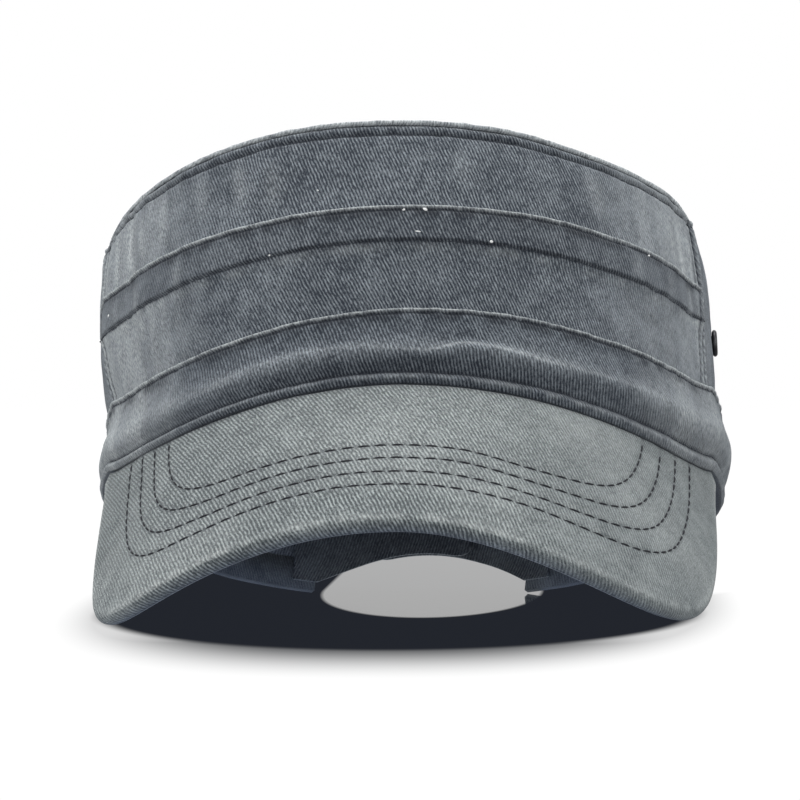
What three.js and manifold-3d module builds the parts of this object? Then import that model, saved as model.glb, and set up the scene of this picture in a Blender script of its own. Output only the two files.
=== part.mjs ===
// A flat-topped patrol cap of washed cotton twill with a curved, cloth covered peak.
// Millimetres. The finished model stands as the cap rests on a table: on the two tips of its
// peak and the two rear corners of its band, +Z up, its front towards -Y, +X to the right.
// The pieces are shaped in the cap's own frame, where y runs back from the middle of the
// front hem and z runs up the wall. Angles go round the crown from that middle, + to the right.

import * as THREE from "three";
import * as BufferGeometryUtils from "three/addons/utils/BufferGeometryUtils.js";
import Module from "manifold-3d";

// Cloth and fit
const clothThickness = 1.2;
const pieceGap = 0.35;
const lapGap = 0.56;

// Crown, measured over the outside at the hem
const crownHalfWidth = 91.5;
const crownHalfLength = 95;
const crownHeight = 80;
const backFall = 11;
const squareLeft = 1.8;
const squareRight = 0.9;
const leftSeamAngle = 76;
const rightSeamAngle = 72;
const upperSeamHeight = 54;
const upperSeamLap = 11;
const seamSoftness = 0.8;
const hemReturnAngle = 38;

// Band round the bottom of the crown
const bandHeight = 22.5;
const bandLap = 10;
const bellyDepth = 1.8;
const hemThickness = 3;

// Flat top and its puffed rim
const domeRise = 3;
const rimPuff = 0.8;
const rimStitchInset = 3.4;

// Peak: a plate bent round a cylinder, its outline given on the flat
const peakLength = 65.5;
const peakHalfWidth = 110;
const peakSpread = 3;
const peakBendRadius = 97;
const peakDroop = 54.1;
const peakThickness = 4.8;
const peakLipWidth = 3;
const peakLipGap = 1.1;
const leftCornerPower = 4.1;
const rightCornerPower = 2.35;
const leftCornerFlare = 0;
const rightCornerFlare = 51;
const peakCornerStart = -30;
const peakFullBend = 1.4;
const peakHemShare = 0.96;
const peakEndShare = 0.962;
const peakSideShare = 0.1;
const peakEdgeShare = 0.32;

// Opening at the back, and the two halves of the strap that closes it
const archHalfWidth = 34;
const archHeight = 48;
const archPower = 2.4;
const strapWidth = 20;
const strapStart = 3;
const strapRise = 13;
const strapTuck = 9;
const strapOverlap = 17;
const strapStepFrom = 0.15;
const strapStepSpan = 0.31;

// Metal eyelets
const leftEyeletAngle = 104;
const rightEyeletAngle = 87;
const eyeletHeight = 46;
const eyeletRadius = 4;
const eyeletHole = 1.9;
const eyeletWall = 0.8;
const eyeletProud = 0.9;
const eyeletRounding = 0.55;

// Columns and sides of the faceted surfaces
const frontColumns = 36;
const sideColumns = 20;
const archColumns = 8;
const archCrowding = 1.6;
const bandColumns = 84;
const topColumns = 56;
const peakColumns = 44;
const strapColumns = 16;
const eyeletSides = 20;

// Sections of the crown's wall from the hem up, without its band. Height is a share of the
// crown's height. Width and length are shares of its half sizes, lean is a shift to the right
// as a share of the half width, and roll is how far the right side rides up for its reach.
const SECTIONS = [
  { height: 0.0, width: 0.983, length: 0.981, lean: 0.0, roll: 0.0 },
  { height: 0.14, width: 0.986, length: 0.981, lean: 0.009, roll: 0.031 },
  { height: 0.28, width: 0.982, length: 0.981, lean: 0.002, roll: 0.042 },
  { height: 0.4, width: 0.992, length: 0.985, lean: -0.012, roll: 0.042 },
  { height: 0.53, width: 0.999, length: 0.985, lean: -0.021, roll: 0.042 },
  { height: 0.67, width: 1.0, length: 0.983, lean: -0.027, roll: 0.04 },
  { height: 0.87, width: 0.991, length: 0.978, lean: -0.036, roll: 0.03 },
  { height: 0.96, width: 0.983, length: 0.973, lean: -0.04, roll: 0.02 },
  { height: 1.0, width: 0.972, length: 0.965, lean: -0.041, roll: 0.016 },
];

// How the soft wall settles round the head. Angle in degrees. Lift raises the seams, and fall
// lowers the rim, both as shares of the crown's height.
const SETTLING = [
  { angle: -180, lift: 0.0, fall: 0.0 },
  { angle: -90, lift: 0.045, fall: 0.084 },
  { angle: -75, lift: 0.052, fall: 0.082 },
  { angle: -58, lift: 0.05, fall: 0.076 },
  { angle: -38, lift: 0.03, fall: 0.045 },
  { angle: -18, lift: 0.01, fall: 0.01 },
  { angle: 0, lift: 0.0, fall: 0.0 },
  { angle: 20, lift: 0.0, fall: 0.005 },
  { angle: 36, lift: 0.004, fall: 0.025 },
  { angle: 52, lift: 0.014, fall: 0.027 },
  { angle: 66, lift: 0.014, fall: 0.006 },
  { angle: 90, lift: 0.014, fall: 0.018 },
  { angle: 180, lift: 0.0, fall: 0.0 },
];

// Band's outside from the hem up: the rolled hem, its stitched groove, the belly fold that
// hangs over it, and the folded top edge. Height is a share of the band's, out of the belly's.
const BAND_PROFILE = [
  { height: 0.0, out: -0.1 },
  { height: 0.07, out: 0.38 },
  { height: 0.155, out: -0.15 },
  { height: 0.3, out: 0.7 },
  { height: 0.46, out: 1.0 },
  { height: 0.6, out: 0.45 },
  { height: 0.8, out: -0.05 },
  { height: 1.0, out: 0.0 },
];

// Puffed rim of the flat top, from its stitching out to the seam. Inset is a share of the
// stitching's, puff a share of the rim's, both over the top's upper face.
const RIM_PROFILE = [
  { inset: 1.0, puff: -0.25 },
  { inset: 0.5, puff: 0.8 },
  { inset: 0.0, puff: 0.33 },
  { inset: -0.12, puff: -0.7 },
];

// Where the flat top's faces have a ring, as shares of the crown's half width in from the rim
const TOP_RINGS = [{ inset: 0.75 }, { inset: 0.5 }, { inset: 0.25 }, { inset: 0.1 }];

// Rounded edge of the peak. Inset, back from its outline, and depth, down from its upper face,
// are shares of half its thickness.
const PEAK_EDGE = [
  { inset: 1.9, depth: 0.0 },
  { inset: 0.7, depth: 0.14 },
  { inset: 0.2, depth: 0.5 },
  { inset: 0.0, depth: 1.0 },
  { inset: 0.2, depth: 1.5 },
  { inset: 0.6, depth: 2.0 },
];

// Soft upright folds and dents of the crown. Angle and spread in degrees, low and high as
// shares of the crown's height, out as a share of the cloth's thickness, + outwards.
const FOLDS = [
  { angle: -70, spread: 4, low: 0.3, high: 1.0, out: 0.6 },
  { angle: -62, spread: 5, low: 0.3, high: 1.0, out: -0.7 },
  { angle: -54, spread: 4, low: 0.66, high: 1.0, out: 0.5 },
  { angle: -31, spread: 5, low: 0.68, high: 1.0, out: -0.5 },
  { angle: -24, spread: 4, low: 0.68, high: 1.0, out: 0.6 },
  { angle: 37, spread: 5, low: 0.68, high: 1.0, out: 0.5 },
  { angle: 46, spread: 5, low: 0.66, high: 1.0, out: -0.5 },
  { angle: 64, spread: 4, low: 0.3, high: 1.0, out: -0.6 },
  { angle: 100, spread: 9, low: 0.3, high: 1.0, out: 0.9 },
  { angle: 124, spread: 10, low: 0.3, high: 1.0, out: -1.1 },
  { angle: 150, spread: 9, low: 0.6, high: 1.0, out: 0.8 },
  { angle: -104, spread: 9, low: 0.3, high: 1.0, out: -1.0 },
  { angle: -128, spread: 10, low: 0.3, high: 1.0, out: 1.0 },
  { angle: -152, spread: 9, low: 0.6, high: 1.0, out: -0.9 },
];

const droop = THREE.MathUtils.degToRad(peakDroop);
const bandStand = lapGap + clothThickness;
const panelBottom = bandHeight - bandLap;
const hemReturn = THREE.MathUtils.degToRad(hemReturnAngle);

function clamp01(value) {
  return THREE.MathUtils.clamp(value, 0, 1);
}

// Value of a table's column at a key, by a smooth curve through its rows
function fromTable(table, key, at, column) {
  const last = table.length - 1;
  if (at <= table[0][key]) return table[0][column];
  if (at >= table[last][key]) return table[last][column];
  let row = 0;
  while (table[row + 1][key] < at) row += 1;
  const slope = (i, j) => (table[j][column] - table[i][column]) / (table[j][key] - table[i][key]);
  const start = slope(Math.max(row - 1, 0), row + 1);
  const end = slope(row, Math.min(row + 2, last));
  const step = table[row + 1][key] - table[row][key];
  const t = (at - table[row][key]) / step;
  const rest = 1 - t;
  return (
    table[row][column] * rest * rest * (1 + 2 * t) +
    table[row + 1][column] * t * t * (3 - 2 * t) +
    step * t * rest * (start * rest - end * t)
  );
}

// How far the bent peak has dropped below its middle line at a reach to the side
function peakSag(x) {
  const inside = Math.max(peakBendRadius ** 2 - x ** 2, 0);
  return peakBendRadius - Math.sqrt(inside);
}

// Point of the peak: side is measured round its bend, run down its slope from the front hem,
// depth into its thickness
function peakPoint(side, run, depth) {
  const turn = side / peakBendRadius;
  const radius = peakBendRadius - depth;
  const sag = peakBendRadius - radius * Math.cos(turn);
  return new THREE.Vector3(
    radius * Math.sin(turn),
    -run * Math.cos(droop) + sag * Math.sin(droop),
    -run * Math.sin(droop) - sag * Math.cos(droop),
  );
}

// The peak's side reaches this far round the crown
const peakEndReach = Math.min(
  peakBendRadius * Math.sin(Math.min(peakHalfWidth / peakBendRadius, peakFullBend)),
  peakHemShare * crownHalfWidth,
);
const peakEndAngle = Math.asin(peakEndReach / crownHalfWidth);

// Height of the hem over the band's plane: it rides on the peak's upper face in front and
// comes back to the plane behind the peak's ends
function hemRise(angle) {
  const round = Math.abs(angle);
  const onPeak = Math.min(round, peakEndAngle);
  const x = crownHalfWidth * Math.sin(onPeak);
  const y = crownHalfLength * (1 - Math.cos(onPeak)) - squareness(Math.sign(angle) * onPeak);
  const back = clamp01((round - peakEndAngle) / hemReturn);
  const share = 1 - back * back * (3 - 2 * back);
  return share * (y * Math.tan(droop) - (peakSag(x) - pieceGap) / Math.cos(droop));
}

// The oval is a little squarer than an ellipse in front and behind, more so on the left
function squareness(angle) {
  const size = angle < 0 ? squareLeft : squareRight;
  return size * Math.sin(2 * angle) ** 2 * Math.sign(Math.cos(angle));
}

function foldOut(degrees, height) {
  const level = height / crownHeight;
  let total = 0;
  for (const fold of FOLDS) {
    const away = (degrees - fold.angle) / fold.spread;
    const middle = (fold.low + fold.high) / 2;
    const reach = (fold.high - fold.low) / 2;
    const up = clamp01(1 - ((level - middle) / reach) ** 2);
    total += fold.out * clothThickness * Math.exp(-away * away) * up;
  }
  return total;
}

// Point of the crown's wall at an angle and a height, out from its bare outer face
function wallPoint(angle, height, out) {
  const level = height / crownHeight;
  const halfWidth = crownHalfWidth * fromTable(SECTIONS, "height", level, "width");
  const halfLength = crownHalfLength * fromTable(SECTIONS, "height", level, "length");
  const degrees = THREE.MathUtils.radToDeg(angle);
  const outward = new THREE.Vector2(Math.sin(angle) / halfWidth, -Math.cos(angle) / halfLength);
  outward.normalize().multiplyScalar(out + foldOut(degrees, height));
  const x = halfWidth * Math.sin(angle) + outward.x;
  const y = crownHalfLength - halfLength * Math.cos(angle) - squareness(angle) + outward.y;
  const lean = crownHalfWidth * fromTable(SECTIONS, "height", level, "lean");
  const above = clamp01((crownHeight - height) / (crownHeight - bandHeight));
  const settle = clamp01(height / bandHeight);
  const nearRim = clamp01((height - upperSeamHeight) / (crownHeight - upperSeamHeight));
  let z = height - (backFall * height * (1 - Math.cos(angle))) / 2 / crownHeight;
  z += hemRise(angle) * above;
  z += x * fromTable(SECTIONS, "height", level, "roll");
  z += crownHeight * fromTable(SETTLING, "angle", degrees, "lift") * settle;
  z -= crownHeight * fromTable(SETTLING, "angle", degrees, "fall") * nearRim;
  return new THREE.Vector3(x + lean, y, z);
}

// A geometry from points and triangles, turned so that its faces look outwards
function solidFrom(points, triangles) {
  let volume = 0;
  for (const [a, b, c] of triangles) {
    volume += points[a].dot(new THREE.Vector3().crossVectors(points[b], points[c]));
  }
  const facing = volume < 0 ? triangles.map(([a, b, c]) => [a, c, b]) : triangles;
  const geometry = new THREE.BufferGeometry();
  geometry.setAttribute(
    "position",
    new THREE.Float32BufferAttribute(points.flatMap((point) => point.toArray()), 3),
  );
  geometry.setIndex(facing.flat());
  geometry.computeVertexNormals();
  return geometry;
}

// A closed solid swept through sections that all have the same points. Each section is
// { flat, ring }: its outline as Vector2s and the same outline placed in space.
function sweep(sections) {
  const count = sections[0].ring.length;
  const points = sections.flatMap((section) => section.ring);
  const triangles = [];
  for (let i = 0; i < sections.length - 1; i += 1) {
    for (let j = 0; j < count; j += 1) {
      const next = (j + 1) % count;
      const [a, b] = [i * count + j, i * count + next];
      triangles.push([a, b, b + count], [a, b + count, a + count]);
    }
  }
  for (const [end, base] of [[0, 0], [sections.length - 1, (sections.length - 1) * count]]) {
    const outline = sections[end].flat;
    const faces = THREE.ShapeUtils.triangulateShape(outline, []);
    const clockwise = THREE.ShapeUtils.isClockWise(outline);
    for (const [a, b, c] of faces) {
      const forward = (end === 0) !== clockwise;
      triangles.push(forward ? [base + a, base + c, base + b] : [base + a, base + b, base + c]);
    }
  }
  return solidFrom(points, triangles);
}

// A closed solid round closed rings, from one pole to the other
function wrap(rings, firstPole, lastPole) {
  const count = rings[0].length;
  const points = [firstPole, ...rings.flat(), lastPole];
  const triangles = [];
  const end = points.length - 1;
  const lastRing = 1 + (rings.length - 1) * count;
  for (let j = 0; j < count; j += 1) {
    const next = (j + 1) % count;
    triangles.push([0, 1 + next, 1 + j], [end, lastRing + j, lastRing + next]);
    for (let i = 0; i < rings.length - 1; i += 1) {
      const [a, b] = [1 + i * count + j, 1 + i * count + next];
      triangles.push([a, b, b + count], [a, b + count, a + count]);
    }
  }
  return solidFrom(points, triangles);
}

function spaced(from, to, steps) {
  return Array.from({ length: steps + 1 }, (unused, i) => from + ((to - from) * i) / steps);
}

// A piece of the wall: at each angle its section is a closed list of [height, out] corners
function wallPiece(angles, sectionAt) {
  return sweep(
    angles.map((angle) => {
      const corners = sectionAt(angle);
      return {
        flat: corners.map(([height, out]) => new THREE.Vector2(out, height)),
        ring: corners.map(([height, out]) => wallPoint(angle, height, out)),
      };
    }),
  );
}

const leftSeam = -THREE.MathUtils.degToRad(leftSeamAngle);
const rightSeam = THREE.MathUtils.degToRad(rightSeamAngle);
const seamHalfGap = pieceGap / 2 / crownHalfWidth;

// The opening's edge at the back: its height over the hem at an angle, none outside it
const archHalfAngle = Math.asin(archHalfWidth / crownHalfWidth);

function archEdge(angle) {
  const away = Math.abs(Math.PI - Math.abs(angle)) / archHalfAngle;
  return away >= 1 ? 0 : archHeight * (1 - away ** archPower) ** (1 / archPower);
}

// Front of the crown, in two panels: the lower one folds over the upper one at their seam
const lapBottom = upperSeamHeight - upperSeamLap;

function frontUpper() {
  const heights = [lapBottom + pieceGap, ...spaced(upperSeamHeight, crownHeight, 6)];
  const outer = heights.map((height) => [height, 0]);
  const inner = heights.map((height) => [height, -clothThickness]).reverse();
  const angles = spaced(leftSeam + seamHalfGap, rightSeam - seamHalfGap, frontColumns);
  return wallPiece(angles, () => [...outer, ...inner]);
}

function frontLower() {
  const foldOver = pieceGap + clothThickness;
  const turnIn = 2 * clothThickness;
  const outer = [
    ...spaced(panelBottom, lapBottom - turnIn, 5).map((height) => [height, 0]),
    [lapBottom + turnIn / 2, seamSoftness * foldOver],
    [upperSeamHeight - clothThickness, foldOver],
    [upperSeamHeight - clothThickness / 3, seamSoftness * foldOver],
  ];
  const inner = [
    [upperSeamHeight, pieceGap],
    [lapBottom - pieceGap, pieceGap],
    [lapBottom - pieceGap, -clothThickness],
    ...spaced(lapBottom - turnIn, panelBottom, 4).map((height) => [height, -clothThickness]),
  ];
  const angles = spaced(leftSeam + seamHalfGap, rightSeam - seamHalfGap, frontColumns);
  return wallPiece(angles, () => [...outer, ...inner]);
}

// One side of the crown, from its seam with the front to the middle of the back
function sidePanel(seam, hand) {
  const archStart = Math.PI - archHalfAngle;
  const first = Math.abs(seam) + seamHalfGap;
  const last = Math.PI - seamHalfGap;
  const plain = spaced(first, archStart, sideColumns);
  const overArch = spaced(0, 1, archColumns).slice(1).map((share) => {
    return last - (last - archStart) * (1 - share) ** archCrowding;
  });
  const rows = 9;
  return wallPiece([...plain, ...overArch].map((angle) => hand * angle), (angle) => {
    const bottom = Math.max(panelBottom, archEdge(angle));
    const outer = spaced(bottom, crownHeight, rows).map((height) => [height, 0]);
    const inner = outer.map(([height]) => [height, -clothThickness]).reverse();
    return [...outer, ...inner];
  });
}

// Band: laps over the crown's panels and ends at the corners of the opening
function band() {
  const inside = bandStand - hemThickness;
  const lapStart = panelBottom - pieceGap;
  const outer = BAND_PROFILE.map((row) => [row.height * bandHeight, bandStand + row.out * bellyDepth]);
  const inner = [
    [bandHeight, lapGap],
    [(bandHeight + lapStart) / 2, lapGap],
    [lapStart, lapGap],
    [lapStart, inside],
    [0, inside],
  ];
  const end = Math.PI - archHalfAngle - seamHalfGap;
  const section = [...outer, ...inner];
  return wallPiece(spaced(-end, end, bandColumns), () => section);
}

// Flat top: a domed oval whose edge is puffed between its stitching and the seam
function topPanel() {
  const angles = spaced(-Math.PI, Math.PI, topColumns).slice(1);
  const edge = angles.map((angle) => wallPoint(angle, crownHeight, 0));
  const middle = new THREE.Vector3();
  edge.forEach((point) => middle.add(point));
  middle.divideScalar(topColumns);
  const ring = (inset, lift) => {
    return edge.map((point) => {
      const towards = new THREE.Vector3().subVectors(middle, point);
      const reach = Math.hypot(towards.x, towards.y);
      const share = inset / reach;
      const dome = domeRise * (1 - (1 - share) ** 2);
      return new THREE.Vector3(
        point.x + towards.x * share,
        point.y + towards.y * share,
        point.z + towards.z * (1 - (1 - share) ** 2) + dome + lift,
      );
    });
  };
  const base = pieceGap;
  const top = base + clothThickness;
  const inward = TOP_RINGS.map((row) => row.inset * crownHalfWidth);
  const rings = [
    ...inward.map((inset) => ring(inset, top)),
    ...RIM_PROFILE.map((row) => ring(row.inset * rimStitchInset, top + row.puff * rimPuff)),
    ring(0, base),
    ring(rimStitchInset, base),
    ...inward.reverse().map((inset) => ring(inset, base)),
  ];
  const pole = (lift) => new THREE.Vector3(middle.x, middle.y, middle.z + domeRise + lift);
  return wrap(rings, pole(top), pole(base));
}

// Outline of the flat peak: a run for each place round it, and its root on the hem
function peakRoot(side) {
  const x = peakBendRadius * Math.sin(side / peakBendRadius);
  const angle = Math.asin(THREE.MathUtils.clamp(x / crownHalfWidth, -1, 1));
  const y = crownHalfLength * (1 - Math.cos(angle)) - squareness(angle);
  return (peakSag(x) * Math.sin(droop) - y) / Math.cos(droop);
}

const peakEndSide = peakBendRadius * Math.asin(peakEndReach / peakBendRadius);

// Root and edge points of a column across the peak, with the edge moved in by an inset. The
// edge is a rounded front with straight sides behind it.
function peakColumn(share, inset) {
  const half = peakEndSide + peakSpread - inset;
  const endRun = peakRoot(peakEndSide);
  const across = Math.abs(share);
  let edgeSide = half;
  let edgeRun = endRun + ((peakCornerStart - endRun) * (1 - across)) / peakSideShare;
  if (across < 1 - peakSideShare) {
    const turn = ((across / (1 - peakSideShare)) * Math.PI) / 2;
    const flare = (share < 0 ? leftCornerFlare : rightCornerFlare) * Math.sin(turn) ** 2;
    const reach = peakLength + flare - inset - peakCornerStart;
    const side = Math.sin(turn) / half;
    const run = Math.cos(turn) / reach;
    const power = share < 0 ? leftCornerPower : rightCornerPower;
    const radius = (side ** power + run ** power) ** (-1 / power);
    edgeSide = radius * Math.sin(turn);
    edgeRun = peakCornerStart + radius * Math.cos(turn);
  }
  const rootSide = share * half;
  const side = Math.sign(share) * edgeSide;
  return {
    root: new THREE.Vector2(rootSide, peakRoot(rootSide)),
    edge: new THREE.Vector2(side, edgeRun),
  };
}

// A layer of the peak: a closed section of [share, inset, depth] corners from the root to the
// edge and back. Share is how far from the root to the edge, inset the millimetres back from
// there, less where the peak is short.
function peakLayer(corners, edgeInset) {
  const shares = spaced(-peakEndShare, peakEndShare, peakColumns);
  return sweep(
    shares.map((share) => {
      const { root, edge } = peakColumn(share, edgeInset);
      const length = root.distanceTo(edge);
      const squeeze = Math.min(1, (peakEdgeShare * length) / peakThickness);
      const reach = (share, inset) => share * length - inset * squeeze;
      return {
        flat: corners.map(([along, inset, depth]) => new THREE.Vector2(reach(along, inset), depth)),
        ring: corners.map(([along, inset, depth]) => {
          const spot = root.clone().lerp(edge, reach(along, inset) / length);
          return peakPoint(spot.x, spot.y, depth);
        }),
      };
    }),
  );
}

const peakRows = [0, 1 / 3, 2 / 3];

function peakTop() {
  const lipDepth = peakThickness - clothThickness - pieceGap;
  const round = peakThickness / 2;
  return peakLayer(
    [
      ...peakRows.map((share) => [share, 0, 0]),
      ...PEAK_EDGE.map((row) => [1, row.inset * round, row.depth * round]),
      [1, peakLipWidth, peakThickness],
      [1, peakLipWidth, lipDepth],
      ...peakRows.map((share) => [share, 0, lipDepth]).reverse(),
    ],
    0,
  );
}

function peakUnder() {
  const upper = peakThickness - clothThickness;
  return peakLayer(
    [
      ...[...peakRows, 1].map((share) => [share, 0, upper]),
      ...[...peakRows, 1].map((share) => [share, 0, peakThickness]).reverse(),
    ],
    peakLipWidth + peakLipGap,
  );
}

// Half of the strap: sewn inside the band's end, it runs past the middle of the back. The
// outer half steps out so that it lies over the other.
function strapHalf(hand, stepOut) {
  const archStart = Math.PI - archHalfAngle;
  const tuckAngle = strapTuck / crownHalfLength;
  const past = strapOverlap / crownHalfLength;
  const inside = -clothThickness - pieceGap;
  const angles = spaced(archStart - tuckAngle, Math.PI + past, strapColumns);
  return wallPiece(angles.map((angle) => hand * angle), (angle) => {
    const round = (Math.abs(angle) - archStart) / archHalfAngle;
    const toMiddle = clamp01(1 - Math.abs(1 - round));
    const top = inside + stepOut * clamp01((round - strapStepFrom) / strapStepSpan);
    const bottom = strapStart + strapRise * Math.sin((toMiddle * Math.PI) / 2);
    return [
      [bottom, top],
      [bottom + strapWidth / 2, top],
      [bottom + strapWidth, top],
      [bottom + strapWidth, top - clothThickness],
      [bottom + strapWidth / 2, top - clothThickness],
      [bottom, top - clothThickness],
    ];
  });
}

// Eyelet: a metal ring pressed through the wall, with a flange on each face
function eyeletProfile() {
  const outerFace = pieceGap;
  const innerFace = -clothThickness - pieceGap;
  const barrel = eyeletHole + eyeletWall;
  return [
    [eyeletHole, innerFace - eyeletWall],
    [eyeletRadius, innerFace - eyeletWall],
    [eyeletRadius, innerFace],
    [barrel, innerFace],
    [barrel, outerFace],
    [eyeletRadius, outerFace],
    [eyeletRadius - eyeletWall / 3, outerFace + eyeletProud * eyeletRounding],
    [(eyeletRadius + eyeletHole) / 2, outerFace + eyeletProud],
    [eyeletHole, outerFace + eyeletProud * eyeletRounding],
    [eyeletHole, innerFace - eyeletWall],
  ].map(([radius, height]) => new THREE.Vector2(radius, height));
}

// Where an eyelet sits: its place on the wall and the turn that points it outwards
function eyeletSeat(hand) {
  const angle = THREE.MathUtils.degToRad(hand < 0 ? -leftEyeletAngle : rightEyeletAngle);
  const step = 0.02;
  const place = wallPoint(angle, eyeletHeight, 0);
  const along = wallPoint(angle + step, eyeletHeight, 0).sub(place);
  const up = wallPoint(angle, eyeletHeight + 1, 0).sub(place);
  const outward = along.cross(up).normalize();
  const turn = new THREE.Quaternion().setFromUnitVectors(new THREE.Vector3(0, 1, 0), outward);
  return { place, turn };
}

const wasm = await Module();
wasm.setup();

function toManifold(geometry) {
  const bare = geometry.clone();
  bare.deleteAttribute("normal");
  bare.deleteAttribute("uv");
  const merged = BufferGeometryUtils.mergeVertices(bare);
  return new wasm.Manifold(
    new wasm.Mesh({
      numProp: 3,
      vertProperties: new Float32Array(merged.attributes.position.array),
      triVerts: new Uint32Array(merged.index.array),
    }),
  );
}

function fromManifold(solid) {
  const mesh = solid.getMesh();
  const geometry = new THREE.BufferGeometry();
  geometry.setAttribute("position", new THREE.Float32BufferAttribute(mesh.vertProperties, 3));
  geometry.setIndex(new THREE.Uint32BufferAttribute(mesh.triVerts, 1));
  geometry.computeVertexNormals();
  return geometry;
}

// Side panel with the round hole that its eyelet sits in
function sideWithHole(seam, hand) {
  const seat = eyeletSeat(hand);
  const holeRadius = eyeletHole + eyeletWall + pieceGap;
  const punchLength = 8 * clothThickness;
  const punch = new THREE.CylinderGeometry(holeRadius, holeRadius, punchLength, eyeletSides);
  punch.applyQuaternion(seat.turn);
  punch.translate(seat.place.x, seat.place.y, seat.place.z);
  return fromManifold(toManifold(sidePanel(seam, hand)).subtract(toManifold(punch)));
}

// Materials
const panelCloth = new THREE.MeshStandardMaterial({ color: 0x676f76, roughness: 0.95, metalness: 0 });
const bandCloth = new THREE.MeshStandardMaterial({ color: 0x5e666d, roughness: 0.95, metalness: 0 });
const peakCloth = new THREE.MeshStandardMaterial({ color: 0x868d90, roughness: 0.95, metalness: 0 });
const strapCloth = new THREE.MeshStandardMaterial({ color: 0x60676e, roughness: 0.95, metalness: 0 });
const darkMetal = new THREE.MeshStandardMaterial({ color: 0x303236, roughness: 0.4, metalness: 0.9 });

const cap = new THREE.Group();

function addPiece(name, geometry, material) {
  const mesh = new THREE.Mesh(geometry, material);
  mesh.name = name;
  cap.add(mesh);
  return mesh;
}

addPiece("top_panel", topPanel(), panelCloth);
addPiece("front_upper", frontUpper(), panelCloth);
addPiece("front_lower", frontLower(), panelCloth);
addPiece("side_left", sideWithHole(leftSeam, -1), panelCloth);
addPiece("side_right", sideWithHole(rightSeam, 1), panelCloth);
addPiece("band", band(), bandCloth);
addPiece("peak_top", peakTop(), peakCloth);
addPiece("peak_under", peakUnder(), peakCloth);
addPiece("strap_left", strapHalf(-1, 0), strapCloth);
addPiece("strap_right", strapHalf(1, clothThickness + pieceGap), strapCloth);

for (const [name, hand] of [["eyelet_left", -1], ["eyelet_right", 1]]) {
  const seat = eyeletSeat(hand);
  const eyelet = addPiece(name, new THREE.LatheGeometry(eyeletProfile(), eyeletSides), darkMetal);
  eyelet.position.copy(seat.place);
  eyelet.quaternion.copy(seat.turn);
}

// The cap tips back until the lowest points of its peak and of its rear corners are level
function lowestPoints(tilt) {
  const lowest = { front: Infinity, back: Infinity };
  const point = new THREE.Vector3();
  const axis = new THREE.Vector3(1, 0, 0);
  for (const mesh of cap.children) {
    const places = mesh.geometry.attributes.position;
    for (let i = 0; i < places.count; i += 1) {
      point.fromBufferAttribute(places, i).applyQuaternion(mesh.quaternion).add(mesh.position);
      const side = point.y < crownHalfLength ? "front" : "back";
      lowest[side] = Math.min(lowest[side], point.applyAxisAngle(axis, -tilt).z);
    }
  }
  return lowest;
}

function restingTilt() {
  let low = 0;
  let high = Math.PI / 3;
  for (let i = 0; i < 40; i += 1) {
    const middle = (low + high) / 2;
    const { front, back } = lowestPoints(middle);
    if (front < back) low = middle;
    else high = middle;
  }
  return (low + high) / 2;
}

cap.rotation.x = -restingTilt();
cap.updateMatrixWorld(true);

// The origin is under the middle of the whole cap, on the table
const rested = new THREE.Box3().setFromObject(cap, true);
const middle = rested.getCenter(new THREE.Vector3());
cap.position.set(-middle.x, -middle.y, -rested.min.z);

const model = new THREE.Group();
model.add(cap);

export default model;
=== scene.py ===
import math

import bmesh
import bpy
import numpy as np
from mathutils import Matrix, Vector, kdtree


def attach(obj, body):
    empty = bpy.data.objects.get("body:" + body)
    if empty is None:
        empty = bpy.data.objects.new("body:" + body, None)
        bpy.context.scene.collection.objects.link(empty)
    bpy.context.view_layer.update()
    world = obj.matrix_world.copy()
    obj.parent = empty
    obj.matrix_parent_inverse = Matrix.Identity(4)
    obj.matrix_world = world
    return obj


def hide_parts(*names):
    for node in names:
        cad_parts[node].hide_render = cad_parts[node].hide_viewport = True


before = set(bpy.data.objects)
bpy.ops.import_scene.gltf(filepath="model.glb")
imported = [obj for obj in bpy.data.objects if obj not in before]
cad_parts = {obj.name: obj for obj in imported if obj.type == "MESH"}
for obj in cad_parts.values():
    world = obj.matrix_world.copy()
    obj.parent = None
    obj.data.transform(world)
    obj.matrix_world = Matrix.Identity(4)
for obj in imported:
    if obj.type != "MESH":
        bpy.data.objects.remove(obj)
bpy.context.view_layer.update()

# FRONT OF THE CROWN, UPPER PANEL
# One strip of washed cotton twill, cut to curve round the head. Its top edge is sewn to the flat
# top and stitched down 3 mm below the rim, and its lower edge runs in behind the lower panel.

# Lengths in millimetres and angles in radians: x to the picture's right, y backwards, z up from
# the hem in front, and angles round the crown from the middle of the front
CLOTH = 1.2
GAP = 0.35
HALF_WIDTH = 91.5
HALF_LENGTH = 95.0
CROWN = 80.0
BACK_FALL = 11.0
SQUARE_LEFT = 1.8
SQUARE_RIGHT = 0.9
LEFT_SEAM = -math.radians(76)
RIGHT_SEAM = math.radians(72)
RIDGE = 54.0
RIM_ROW = 77.0
RIM_WELT = 78.8
RIM_EDGE = 79.5
RIM_TURN = 0.35
SEAM_ROW = 2.5
PANEL_FOOT = 43.6
BAND = 22.5
BEND = 97.0
DROOP = math.radians(54.1)
REST_TILT = math.radians(20.95285)
REST_PLACE = np.array([-0.3189, -72.9223, 65.7189])

# Height, width, length, lean to the right and roll, as shares of the crown's sizes
SECTIONS = np.array([
    [0.00, 0.983, 0.981, 0.000, 0.000],
    [0.14, 0.986, 0.981, 0.009, 0.031],
    [0.28, 0.982, 0.981, 0.002, 0.042],
    [0.40, 0.992, 0.985, -0.012, 0.042],
    [0.53, 0.999, 0.985, -0.021, 0.042],
    [0.67, 1.000, 0.983, -0.027, 0.040],
    [0.87, 0.991, 0.978, -0.036, 0.030],
    [0.96, 0.983, 0.973, -0.040, 0.020],
    [1.00, 0.972, 0.965, -0.041, 0.016],
])
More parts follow.
